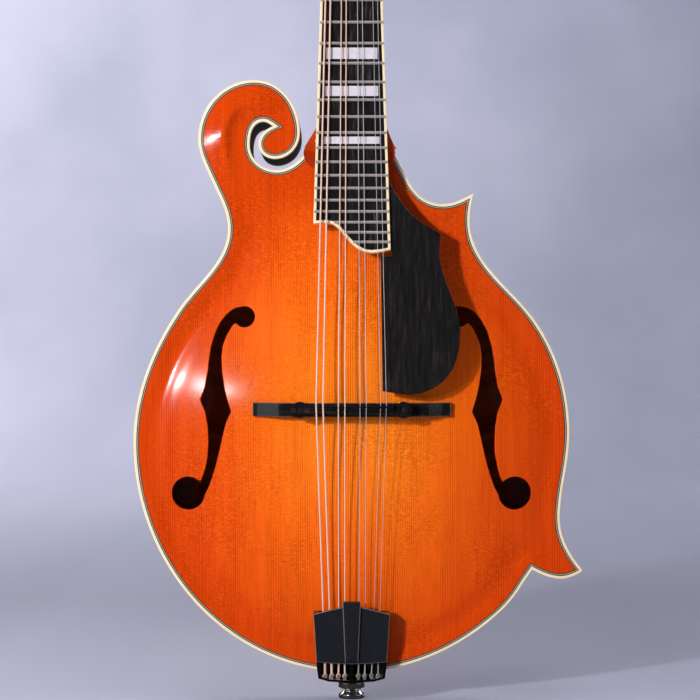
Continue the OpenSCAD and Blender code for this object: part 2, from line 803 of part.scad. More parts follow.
module bridge_wheel(side) {
    color("gold") translate([side * bridge_post_x, -saddle_low + 1.9, tail_z + bridge_z])
        rotate([90, 0, 0]) difference() {
            linear_extrude(1.8) polygon([for (i = [0:71]) (5 - 0.35 * (i % 2)) * [cos(5 * i), sin(5 * i)]]);
            translate([0, 0, -1]) cylinder(h = 4, r = stud_r + 0.07);
        }
}

module bridge_saddle() {
    crest_top = -saddle_y + 0.1;
    bar_top = -saddle_y - 2.6;
    bar_foot_z = tail_z + bridge_z - saddle_d / 2;
    color("#1c1716") difference() {
        union() {
            translate([0, 0, bar_foot_z]) linear_extrude(saddle_d)
                polygon([[-34, -saddle_low], [34, -saddle_low], [34, -saddle_low - 3.6], [25, -bar_top],
                    [-25, -bar_top], [-34, -saddle_low - 3.6]]);
            for (side = [-1, 1]) {
                translate([side * bridge_post_x, -saddle_low, tail_z + bridge_z]) rotate([90, 0, 0])
                    cylinder(h = boss_h, r = boss_r);
            }
            // The slope from the crest down to the bar's far edge
            translate([-24, 0, 0]) rotate([90, 0, 90]) linear_extrude(48)
                polygon([[1.3 - crest_top, saddle_z - 1], [1.3 - crest_top, saddle_z - crest_t],
                    [-bar_top, bar_foot_z + 0.6], [1 - bar_top, bar_foot_z + 0.6], [1 - bar_top, saddle_z - 1]]);
            for (i = [0:3]) {
                translate([crest_x[i][0], -crest_top, saddle_z - crest_t + crest_shift[i]])
                    cube([crest_x[i][1] - crest_x[i][0], 4, crest_t]);
            }
        }
        bridge_studs(stud_r + 0.4, saddle_low - 1, saddle_low + 12);
        for (s = string_rows) {
            string_room(s);
        }
    }
}

// ---- Pickguard ----
guard_front = 2;
guard_back = board_t;
pin_z = [-232, -256];

module pickguard() {
    color("#1a1718") difference() {
        neck_slab(guard_front, guard_back) polygon(outline(pickguard_path));
        pin_places(gap);
    }
}

module pin_places(grow) {
    neck_frame() for (z = pin_z) {
        translate([board_w(z) / 2 - 1.2, (guard_front + guard_back) / 2, z]) rotate([0, 90, 0])
            cylinder(h = 6, r = 0.8 + grow);
    }
}

module pickguard_pins() {
    color("silver") {
        neck_frame() for (z = pin_z) {
            translate([board_w(z) / 2 + gap, (guard_front + guard_back) / 2, z]) rotate([0, 90, 0])
                cylinder(h = 4, r = 0.8);
        }
    }
}

module pickguard_bracket() {
    color("black") resize([0, 0, 0]) difference() {
        translate([40, -rim - 25, tail_z + 186]) cube([8, 24, 20]);
        front_dome(rim, 1);
        neck_frame() translate([0, guard_back - big, -big]) cube([big, big, big]);
    }
}

// ---- Tailpiece ----
cover_top_z = 41.4;
tail_path = [[-20, 4], [-22, 36.9], [22, 36.9], [20, 4], [19.2, -1.9], [13, -3.7], [0, -4.6],
    [-13, -3.7], [-19.2, -1.9]];
tail_wall = 1.5;
tail_floor_y = 3;
tail_cover_y = -2.4;
tail_cover_t = 1.6;
lid_path = [[-20.3, 8.6], [-22, 37], [-4.6, cover_top_z], [4.6, cover_top_z], [22, 37],
    [20.3, 8.6], [11, 7.7], [0, 7.3], [-11, 7.7]];
hook_x = [-15.4, -11.5, -7.6, -3.9, 3.9, 7.6, 11.5, 15.4];

module tail_frame() {
    translate(tail_origin) rotate([tail_angle, 0, 0]) children();
}

module tail_slab(front, back) {
    tail_frame() translate([0, back, 0]) rotate([90, 0, 0]) linear_extrude(back - front) children();
}

module hook(x) {
    tail_frame() translate([x, tail_floor_y, -0.4]) {
        translate([-0.8, -4.6, -1.4]) cube([1.6, 4.6, 1.6]);
        translate([-0.8, -4.6, -2.6]) cube([1.6, 1.2, 1.6]);
    }
}

module tailpiece_frame() {
    bracket_z = tail_z - 1.3;
    color("silver") difference() {
        union() {
            tail_slab(tail_floor_y, tail_floor_y + 1.4) polygon(tail_path);
            tail_slab(tail_cover_y + 0.05, tail_floor_y) difference() {
                polygon(tail_path);
                offset(delta = -tail_wall) polygon(tail_path);
                box_2d(-19, 30, 19, 40);
            }
            tail_slab(tail_cover_y + 0.05, tail_floor_y) box_2d(-0.9, -3.6, 0.9, 9);
            for (x = hook_x) {
                hook(x);
            }
            translate([-14, -rim - 4.5, bracket_z]) cube([28, 2 * rim - 4, 1.3]);
        }
        translate([0, 0, -3]) tail_holes(gap);
        translate([-30, -rim - 1, tail_z]) cube([60, 30, 60]);
    }
}

module tailpiece_cover() {
    color("#23262a") tail_slab(tail_cover_y - tail_cover_t, tail_cover_y) polygon(lid_path);
}

module tailpiece_wedge() {
    front = tail_cover_y - tail_cover_t;
    color("#33363a") tail_slab(front - 1.8, front)
        polygon([[-3.8, 8.5], [-5.3, 43.7], [-4.4, 44.8], [4.4, 44.8], [5.3, 43.7], [3.8, 8.5]]);
}

module tailpiece_screws() {
    color("silver") for (p = tail_screws) {
        translate([p[0], p[1], tail_z - 1.3]) {
            translate([0, 0, -1.2]) cylinder(h = 1.2, r1 = 1.9, r2 = 2.3);
            cylinder(h = 14, r = tail_screw_r);
        }
    }
}

module end_pin() {
    flange_r = 7.6;
    waist_r = 5;
    ferrule_z = [5, 8.2];
    color("silver") {
        translate([0, 0, -1.2]) cylinder(h = 2.4, r = flange_r);
        translate([0, 0, 1.2]) cylinder(h = 2, r1 = 6.6, r2 = waist_r);
        translate([0, 0, 3.2]) cylinder(h = ferrule_z[0] - 3.2, r1 = waist_r, r2 = 6.2);
        translate([0, 0, ferrule_z[0]]) cylinder(h = ferrule_z[1] - ferrule_z[0], r = 7.7);
        translate([0, 0, ferrule_z[1]]) cylinder(h = tail_z - 1.3 - ferrule_z[1], r = 6);
        translate([0, 0, tail_z - 1.3]) cylinder(h = 24, r = pin_shank_r);
    }
}

top_plate();
back_plate();
ribs();
head_block();
tail_block();
point_blocks();
linings();
tone_bars();
top_binding();
purfling_black();
purfling_white();
back_binding();
neck();
heel_cap();
truss_rod();
truss_rod_nut();
fingerboard();
fingerboard_binding();
frets();
inlays();
nut();
headstock_overlay();
headstock_binding();
truss_rod_cover();
small_screws();
tuner_plates();
post_bushings();
bridge_base();
bridge_posts();
bridge_wheel(-1);  // bridge_wheel_bass
bridge_wheel(1);  // bridge_wheel_treble
bridge_saddle();
pickguard();
pickguard_bracket();
pickguard_pins();
tailpiece_frame();
tailpiece_cover();
tailpiece_wedge();
tailpiece_screws();
end_pin();
string_pair(0, "peru");  // strings_g
string_pair(2, "peru");  // strings_d
string_pair(4, "lightgray");  // strings_a
string_pair(6, "lightgray");  // strings_e
tuner_key(1);  // tuner_1_key
tuner_key(2);  // tuner_2_key
tuner_key(3);  // tuner_3_key
tuner_key(4);  // tuner_4_key
tuner_key(5);  // tuner_5_key
tuner_key(6);  // tuner_6_key
tuner_key(7);  // tuner_7_key
tuner_key(8);  // tuner_8_key
tuner_post(1);  // tuner_1_post
tuner_post(2);  // tuner_2_post
tuner_post(3);  // tuner_3_post
tuner_post(4);  // tuner_4_post
tuner_post(5);  // tuner_5_post
tuner_post(6);  // tuner_6_post
tuner_post(7);  // tuner_7_post
tuner_post(8);  // tuner_8_post
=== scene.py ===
"""The carved mandolin's looks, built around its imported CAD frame."""

import json
import math

import bmesh
import bpy
import numpy as np
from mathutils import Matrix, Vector
from mathutils.geometry import delaunay_2d_cdt


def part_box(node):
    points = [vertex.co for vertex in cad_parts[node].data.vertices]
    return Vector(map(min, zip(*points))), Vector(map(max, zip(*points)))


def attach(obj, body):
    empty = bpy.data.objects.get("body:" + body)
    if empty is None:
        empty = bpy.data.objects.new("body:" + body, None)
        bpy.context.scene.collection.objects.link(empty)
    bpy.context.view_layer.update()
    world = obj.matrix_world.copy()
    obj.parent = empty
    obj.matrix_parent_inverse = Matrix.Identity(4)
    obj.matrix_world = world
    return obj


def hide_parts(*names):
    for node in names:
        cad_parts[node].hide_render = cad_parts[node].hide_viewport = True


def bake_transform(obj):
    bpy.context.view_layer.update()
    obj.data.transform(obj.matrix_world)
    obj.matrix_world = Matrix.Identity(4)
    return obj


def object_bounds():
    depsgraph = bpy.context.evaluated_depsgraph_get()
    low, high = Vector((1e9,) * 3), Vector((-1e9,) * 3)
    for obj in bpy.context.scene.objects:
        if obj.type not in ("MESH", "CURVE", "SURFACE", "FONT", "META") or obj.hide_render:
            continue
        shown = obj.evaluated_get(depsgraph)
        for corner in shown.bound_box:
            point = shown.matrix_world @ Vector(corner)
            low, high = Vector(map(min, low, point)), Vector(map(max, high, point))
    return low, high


MM = 0.001
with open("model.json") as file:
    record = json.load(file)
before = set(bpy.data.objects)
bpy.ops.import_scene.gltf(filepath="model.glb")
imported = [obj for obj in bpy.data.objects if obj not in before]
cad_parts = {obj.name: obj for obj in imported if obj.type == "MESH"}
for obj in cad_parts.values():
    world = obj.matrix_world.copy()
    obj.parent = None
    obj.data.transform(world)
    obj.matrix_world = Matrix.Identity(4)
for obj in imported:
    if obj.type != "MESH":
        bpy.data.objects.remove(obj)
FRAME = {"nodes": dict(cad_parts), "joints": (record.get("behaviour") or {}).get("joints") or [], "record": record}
CAD_BOX = [list(corner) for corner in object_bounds()]
NODES = FRAME["nodes"]
BODY_OF = {n: b for b, members in FRAME["record"]["behaviour"]["bodies"].items() for n in members}
JOINTS = {joint["name"]: joint for joint in FRAME["joints"]}

FRONT, BACK = -1, 1
RIM_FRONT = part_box("top_binding")[0].y
RIM_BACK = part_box("back_binding")[1].y
RIM_Y = {FRONT: RIM_FRONT, BACK: RIM_BACK}
TAIL_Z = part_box("top_binding")[0].z


# ---- Camera, lights and backdrop ----

CAMERA_DISTANCE = 1.2
SEEN_WIDTH = 407.4 * MM
CAMERA_X, CAMERA_RISE = -0.93 * MM, 187.7 * MM


def make_camera():
    data = bpy.data.cameras.new("camera")
    camera = bpy.data.objects.new("camera", data)
    bpy.context.scene.collection.objects.link(camera)
    data.sensor_width = 36
    data.lens = data.sensor_width * CAMERA_DISTANCE / SEEN_WIDTH
    data.dof.use_dof = False
    camera.location = (CAMERA_X, RIM_FRONT - CAMERA_DISTANCE, TAIL_Z + CAMERA_RISE)
    camera.rotation_euler = (math.radians(90), 0, 0)
    bpy.context.scene.camera = camera


WHITE, WARM, COOL = (1, 1, 1), (1.0, 0.98, 0.96), (0.88, 0.92, 1.0)
MIDDLE = (0, 0, 0.2)
CANVAS = (-0.8, 3.7, 1.5)

# Each light: name, place, target, size, power, colour, and whether glossy surfaces mirror it
LIGHTS = [
    ("key_glint", (-0.79, -1.37, 0.41), MIDDLE, (0.16, 0.045), 4.5, (0.97, 0.97, 1.0), True),
    ("key", (-0.86, -1.32, 0.56), MIDDLE, (0.08, 0.08), 21, (1.0, 0.96, 0.93), False),
    ("front_fill", (0.1, -2.6, 1.5), MIDDLE, (1.8, 1.8), 1.5, WARM, False),
    ("side_left", (-2.1, -1.3, 0.75), MIDDLE, (2.2, 2.0), 13, COOL, True),
    ("side_right", (2.5, -0.8, 0.8), MIDDLE, (1.4, 1.4), 8, (0.96, 0.97, 1.0), True),
    ("above", (-0.2, -0.6, 2.7), MIDDLE, (1.8, 1.2), 13, WARM, True),
    ("behind_left", (-1.8, 1.5, 1.4), MIDDLE, (1.0, 1.0), 21, WHITE, True),
    ("behind_right", (1.8, 1.6, 1.4), MIDDLE, (1.0, 1.0), 26, WHITE, True),
    ("canvas_wash", (-1.5, 1.3, 2.1), CANVAS, (1.2, 0.6), 58, WHITE, True),
]


def make_lights():
    for name, place_at, target, size, power, colour, in_gloss in LIGHTS:
        data = bpy.data.lights.new(name, "AREA")
        data.shape = "RECTANGLE"
        data.size, data.size_y = size
        data.energy = power
        data.color = colour
        light = bpy.data.objects.new(name, data)
        bpy.context.scene.collection.objects.link(light)
        light.location = place_at
        aim = Vector(target) - Vector(place_at)
        light.rotation_euler = aim.to_track_quat("-Z", "Y").to_euler()
        light.visible_camera = False
        light.visible_glossy = in_gloss
    world = bpy.data.worlds.new("studio")
    bpy.context.scene.world = world
    world.use_nodes = True
    shade = world.node_tree.nodes["Background"]
    shade.inputs["Color"].default_value = (0.5, 0.5, 0.56, 1)
    shade.inputs["Strength"].default_value = 0.06
    bpy.context.scene.view_settings.view_transform = "Standard"


def make_backdrop():
    """A pale floor that curves up all round into a painted lavender-grey canvas."""
    floor_z = CAD_BOX[0][2]
    near, far, top, bend = 3.7, 6.5, 5.0, 1.6
    sides, bend_steps = 72, 24
    profile = [(bend, 0.0)]
    for i in range(1, bend_steps + 1):
        a = math.radians(90 * i / bend_steps)
        profile.append((bend - bend * math.sin(a), bend * (1 - math.cos(a))))
    profile.append((0.0, top))
    verts = [(0, 0, floor_z)]
    for inset, height in profile:
        for k in range(sides):
            a = 2 * math.pi * k / sides
            reach = near + (far - near) * (1 - math.sin(a)) / 2 - inset
            verts.append((reach * math.cos(a), reach * math.sin(a), floor_z + height))
    faces = [(0, 1 + k, 1 + (k + 1) % sides) for k in range(sides)]
    for i in range(len(profile) - 1):
        faces += [(a, d, c, b) for a, b, c, d in band(1 + i * sides, 1 + (i + 1) * sides, sides)]
    drop = mesh_object("backdrop", verts, faces)
    drop.data.materials.append(canvas_material())
    drop.visible_glossy = False


def canvas_material():
    """Broad clouds of paint, with painted light and shade: lighter to the left and upwards, and a shade set by the
    depth that lightens the floor under the instrument's shadow and darkens the lit floor behind it.
    """
    canvas = Surface("canvas", (0.5, 0.5, 0.62), 0.95, specular=0.1)
    cloud = canvas.noise((1, 0.08, 1), 1.3)
    axes = canvas.axes()
    # painted light: the canvas lighter to the left and upwards, as the light falls from there
    painted_light_lean = canvas.plus(canvas.times(axes["X"], -0.12), canvas.times(axes["Z"], 0.1))
    tint = canvas.ramp(canvas.plus(canvas.times(cloud, 0.55), painted_light_lean), [
        (0.1, (0.35, 0.368, 0.47)), (0.3, (0.51, 0.525, 0.65)), (0.6, (0.85, 0.83, 0.99))])
    # painted light and shade by depth: lighter on the floor near and under the instrument where its shadow falls,
    # darker on the lit floor half a metre to a metre behind it, lighter again towards the wall
    painted_light_greys = [(0.0, 0.94), (0.12, 0.7), (0.3, 0.7), (0.7, 0.84), (0.92, 1.0)]
    shade = canvas.ramp(canvas.times(axes["Y"], 0.25), [(at, (grey,) * 3) for at, grey in painted_light_greys])
    canvas.colour(canvas.mixed(1.0, tint, shade))
    return canvas.material


# ---- Meshes ----

WELD = 0.002 * MM  # corners this close are one corner


def mesh_object(name, verts, faces):
    mesh = bpy.data.meshes.new(name)
    mesh.from_pydata([tuple(v) for v in verts], [], [tuple(int(i) for i in f) for f in faces])
    mesh.update()
    mesh.polygons.foreach_set("use_smooth", [True] * len(mesh.polygons))
    piece = bpy.data.objects.new(name, mesh)
    bpy.context.scene.collection.objects.link(piece)
    return piece


def band(low, up, count):
    """The faces between two rings of points whose first numbers are low and up."""
    steps = [(i, (i + 1) % count) for i in range(count)]
    return [(low + i, low + j, up + j, up + i) for i, j in steps]


def mark_sharp(mesh, degrees):
    """Edges whose faces meet at more than the angle shade as creases."""
    bm = bmesh.new()
    bm.from_mesh(mesh)
    limit = math.radians(degrees)
    for edge in bm.edges:
        edge.smooth = len(edge.link_faces) == 2 and edge.calc_face_angle(0) < limit
    for face in bm.faces:
        face.smooth = True
    bm.to_mesh(mesh)
    bm.free()


def welded_copy(node):
    """The node's mesh with its corners joined and its flat areas made whole."""
    bm = bmesh.new()
    bm.from_mesh(NODES[node].data)
    bmesh.ops.remove_doubles(bm, verts=bm.verts, dist=WELD)
    bmesh.ops.dissolve_limit(bm, angle_limit=math.radians(0.3), verts=bm.verts, edges=bm.edges)
    mesh = bpy.data.meshes.new(node + "_shape")
    bm.to_mesh(mesh)
    bm.free()
    return mesh


def add_bevel(piece, width, segments=2, by_weight=False, angle=32):
    bevel = piece.modifiers.new("rounded_edges", "BEVEL")
    bevel.width = width
    bevel.segments = segments
    bevel.limit_method = "WEIGHT" if by_weight else "ANGLE"
    bevel.angle_limit = math.radians(angle)
    bevel.use_clamp_overlap = False
    bevel.harden_normals = True
    bevel.miter_outer = "MITER_ARC"


def refine(node, mat, slot, bevel=0.25, segments=2, crease=32, clamp=False):
    """Stands a welded, smooth copy with rounded edges in the CAD node's place."""
    mesh = welded_copy(node)
    mark_sharp(mesh, crease)
    piece = bpy.data.objects.new(node + "_finished", mesh)
    bpy.context.scene.collection.objects.link(piece)
    mesh.materials.clear()
    if bevel:
        add_bevel(piece, bevel * MM, segments, angle=crease)
        piece.modifiers["rounded_edges"].use_clamp_overlap = clamp
    place(piece, node, mat)
    return piece


def add_material(piece, mat):
    """Gives the piece one more material, and returns its number there."""
    piece.data.materials.append(MATERIALS[mat])
    return len(piece.data.materials) - 1


def second_material(piece, mat, chosen):
    """Gives the faces whose centre is chosen a material of their own."""
    index = add_material(piece, mat)
    for face in piece.data.polygons:
        if chosen(np.array(face.center)):
            face.material_index = index


def wear_and_highlight_edges(piece, mat):
    """Gives the rounded edges a lighter material of their own: a painted highlight along them, and on the
    tailpiece cover worn paint as well.
    """
    piece.modifiers["rounded_edges"].material = add_material(piece, mat)


def place(piece, node, mat):
    """Puts the piece in the CAD node's place, on its body and in its first material."""
    add_material(piece, mat)
    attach(piece, BODY_OF[node])
    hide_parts(node)


def wall_loops(node, side, level_y):
    """The outlines of the node's face towards side, FRONT or BACK, where they lie at or past level_y."""
    facing, upright = 0.4, 0.05
    bm = bmesh.new()
    bm.from_mesh(NODES[node].data)
    bmesh.ops.remove_doubles(bm, verts=bm.verts, dist=WELD)
    ahead = {}
    for edge in bm.edges:
        if len(edge.link_faces) != 2:
            continue
        a, b = edge.link_faces
        if side * a.normal.y < facing:
            a, b = b, a
        if side * a.normal.y < facing or abs(b.normal.y) > upright:
            continue
        if min(side * v.co.y for v in edge.verts) < side * level_y - 0.01 * MM:
            continue
        loop = next(c for c in a.loops if c.edge == edge)
        ahead[loop.vert.index] = (loop.link_loop_next.vert.index, loop.vert.co.copy())
    bm.free()
    loops = []
    while ahead:
        led_to = {following for following, co in ahead.values()}
        here = next((i for i in ahead if i not in led_to), next(iter(ahead)))
        points = []
        while here in ahead:
            here, co = ahead.pop(here)
            points.append((co.x, co.z))
        if len(points) > 6:
            loops.append(np.array(points))
    return sorted(loops, key=lambda p: -abs(area_of(p)))


def area_of(p):
    x, z = p[:, 0], p[:, 1]
    return 0.5 * float(np.sum(x * np.roll(z, -1) - z * np.roll(x, -1)))


def corner_angles(p):
    before = p - np.roll(p, 1, axis=0)
    after = np.roll(p, -1, axis=0) - p
    turn = np.arctan2(after[:, 1], after[:, 0]) - np.arctan2(before[:, 1], before[:, 0])
    return np.degrees(np.abs((turn + math.pi) % (2 * math.pi) - math.pi))


def smooth_loop(p, step=1.6 * MM, corner=24):
    """A curve through the outline's points that keeps its sharp corners."""
    n = len(p)
    sharp = corner_angles(p) > corner
    out = []
    for i in range(n):
        a, b = p[i], p[(i + 1) % n]
        length = float(np.linalg.norm(b - a))
        before = a - p[i - 1]
        after = p[(i + 2) % n] - b
        chord = b - a
        start, end = chord, chord
        if not sharp[i]:
            start = blended_tangent(before, chord, length)
        if not sharp[(i + 1) % n]:
            end = blended_tangent(chord, after, length)
        if sharp[i] and not sharp[(i + 1) % n]:
            start = 1.5 * chord - 0.5 * end
        if sharp[(i + 1) % n] and not sharp[i]:
            end = 1.5 * chord - 0.5 * start
        count = max(1, round(length / step))
        for k in range(count):
            t = k / count
            from_a = (2 * t**3 - 3 * t**2 + 1) * a + (t**3 - 2 * t**2 + t) * start
            out.append(from_a + (3 * t**2 - 2 * t**3) * b + (t**3 - t**2) * end)
    return np.array(out)


def smooth_outlines(node, side, level_y):
    return [smooth_loop(p) for p in wall_loops(node, side, level_y)]


def blended_tangent(before, after, length):
    """The curve's direction at a point, where the shorter neighbour counts for more."""
    lb, la = np.linalg.norm(before), np.linalg.norm(after)
    way = before / lb * la + after / la * lb
    return way / np.linalg.norm(way) * length


def inside(points, loops):
    """True where a point is within the first loop and outside the others (even-odd rule)."""
    crossings = np.zeros(len(points), int)
    x, z = points[:, 0], points[:, 1]
    for p in loops:
        q = np.roll(p, -1, axis=0)
        for (x0, z0), (x1, z1) in zip(p, q):
            if z0 == z1:
                continue
            hit = (z0 > z) != (z1 > z)
            crossings += hit & (x < (x1 - x0) * (z - z0) / (z1 - z0) + x0)
    return crossings % 2 == 1


def distance_to(points, line, closed=True):
    """Each point's distance to an outline or an open line."""
    ends = np.roll(line, -1, axis=0) if closed else line[1:]
    starts = line if closed else line[:-1]
    best = np.full(len(points), 1e9)
    for a, b in zip(starts, ends):
        d = b - a
        t = np.clip(((points - a) @ d) / max(d @ d, 1e-18), 0, 1)
        best = np.minimum(best, np.hypot(*(points - a - t[:, None] * d).T))
    return best


def grid_points(low, high, spacing):
    """Points in rows, every second row half a step aside."""
    rows = np.arange(low[1], high[1], spacing * math.sqrt(3) / 2)
    return np.array([(x + (spacing / 2 if k % 2 else 0), z) for k, z in enumerate(rows)
                     for x in np.arange(low[0], high[0], spacing)])


def filled(loops, spacing, fine_near):
    """Points and triangles that fill the outer loop and leave the others open.

    With a spacing there are points inside, twice as close together around the line fine_near.
    """
    fixed = np.vstack(loops)
    edges, start = [], 0
    for p in loops:
        edges += [(start + i, start + (i + 1) % len(p)) for i in range(len(p))]
        start += len(p)
    points = fixed
    if spacing:
        reach = 7 * MM
        coarse = grid_points(loops[0].min(0), loops[0].max(0), spacing)
        fine = grid_points(fine_near.min(0) - reach, fine_near.max(0) + reach, spacing / 2)
        for grid, step in ((coarse[distance_to(coarse, fine_near, closed=False) > reach], spacing),
                           (fine[distance_to(fine, fine_near, closed=False) <= reach], spacing / 2)):
            grid = grid[inside(grid, loops)]
            away = np.full(len(grid), 1e9)
            for p in loops:
                away = np.minimum(away, distance_to(grid, p))
            points = np.vstack([points, grid[away > 0.55 * step]])
    made = delaunay_2d_cdt([Vector(p) for p in points], edges, [], 0, 1e-7)
    flat = np.array([tuple(v) for v in made[0]])
    faces = np.array([f for f in made[2] if len(f) == 3])
    middle = flat[faces].mean(axis=1)
    return flat, faces[inside(middle, loops)], made[3]


def slab_piece(name, loops, front, back, spacing=None, round_edge=0, round_outer=True, fine_near=None):
    """A solid between two surfaces y = front(points) and y = back(points), in true outline.

    round_edge rounds its outer edges, or those of its holes if round_outer is False.
    """
    flat, faces, origins = filled(loops, spacing, fine_near)
    count = len(flat)
    verts = np.zeros((2 * count, 3))
    verts[:count, [0, 2]] = flat
    verts[count:, [0, 2]] = flat
    verts[:count, 1] = front(flat)
    verts[count:, 1] = back(flat)
    a, b, c = (flat[faces[:, k]] for k in range(3))
    signed = (b[:, 0] - a[:, 0]) * (c[:, 1] - a[:, 1]) - (b[:, 1] - a[:, 1]) * (c[:, 0] - a[:, 0])
    faces[signed < 0] = faces[signed < 0][:, ::-1]
    seen = {(int(f[i]), int(f[(i + 1) % 3])) for f in faces for i in range(3)}
    rims = [e for e in seen if (e[1], e[0]) not in seen]
    all_faces = [tuple(f) for f in faces]
    all_faces += [tuple(int(i) + count for i in f[::-1]) for f in faces]
    all_faces += [(b, a, a + count, b + count) for a, b in rims]
    piece = mesh_object(name, verts, all_faces)
    mark_sharp(piece.data, 35)
    if round_edge:
        limit = len(loops[0])
        weight = piece.data.attributes.new("bevel_weight_edge", "FLOAT", "EDGE")
        source = [o[0] if o else count for o in origins]
        on_rim = {frozenset(e) for e in rims}
        on_rim |= {frozenset((a + count, b + count)) for a, b in rims}
        for edge in piece.data.edges:
            pair = frozenset(edge.vertices)
            if pair not in on_rim:
                continue
            outer = all(source[i % count] < limit for i in pair)
            if outer == round_outer:
                weight.data[edge.index].value = 1
        add_bevel(piece, round_edge, 3, by_weight=True)
    return piece


def level(y):
    """A flat surface, for slab_piece."""
    return lambda points: np.full(len(points), y)


def points_of(piece):
    return np.array([v.co for v in piece.data.vertices])


def paint(piece, name, values):
    """A float attribute on the piece's points, for its material."""
    data = piece.data.attributes.new(name, "FLOAT", "POINT")
    data.data.foreach_set("value", np.asarray(values, np.float32))


# ---- Frames along the neck, the headstock and the tailpiece, as in the CAD, in mm ----

NECK_ANGLE = math.radians(6)
HEAD_ANGLE = math.radians(14)
TAIL_ANGLE = math.radians(9.2)
RIM = 24.0
SCALE_LENGTH = 352.4
SADDLE = np.array([0, -RIM - 32, TAIL_Z / MM + 156.7])
NUT = np.array([0, -RIM - 29.5 + SCALE_LENGTH * math.sin(NECK_ANGLE),
                SADDLE[2] + SCALE_LENGTH * math.cos(NECK_ANGLE)])
HEAD_ORIGIN = np.array([0, 5, 4.5])
TAIL_ORIGIN = np.array([0, -RIM - 6.5, TAIL_Z / MM])


def tilt(p, angle):
    x, y, z = p
    c, s = math.cos(angle), math.sin(angle)
    return np.array([x, y * c + z * s, z * c - y * s])


def neck_point(p):
    return NUT + tilt(p, NECK_ANGLE)


def head_point(p):
    return neck_point(HEAD_ORIGIN + tilt(p, HEAD_ANGLE))


def tail_point(p):
    return TAIL_ORIGIN + tilt(p, -TAIL_ANGLE)


def tail_local(p):
    """A point in metres as x, y, z in the tailpiece's own frame, in mm."""
    return tilt(np.asarray(p) / MM - TAIL_ORIGIN, TAIL_ANGLE)


def wires(name, routes, mat, sides=10):
    """Round wires along routes of points in mm, each with its radius, as one mesh with closed ends."""
    verts, faces = [], []
    for points, radius in routes:
        p = np.array(points, float)
        ways = np.gradient(p, axis=0)
        ways /= np.linalg.norm(ways, axis=1)[:, None]
        across = np.cross(ways[0], (0, 1, 0) if abs(ways[0][1]) < 0.9 else (1, 0, 0))
        start = len(verts)
        for place_mm, way in zip(p, ways):
            across = across - (across @ way) * way
            across /= np.linalg.norm(across)
            other = np.cross(way, across)
            for a in np.arange(sides) * 2 * math.pi / sides:
                out = math.cos(a) * across + math.sin(a) * other
                verts.append(tuple((place_mm + radius * out) * MM))
        for k in range(len(p) - 1):
            faces += band(start + k * sides, start + (k + 1) * sides, sides)
        faces.append(tuple(start + i for i in range(sides))[::-1])
        faces.append(tuple(start + (len(p) - 1) * sides + i for i in range(sides)))
    piece = mesh_object(name, verts, faces)
    mark_sharp(piece.data, 60)
    add_material(piece, mat)
    return piece


def line_between(a, b, count):
    return [a + (b - a) * t for t in np.linspace(0, 1, count)]


# ---- Material nodes ----

MIX_A, MIX_B, MIX_RESULT = 6, 7, 2  # where the Mix node keeps its colours


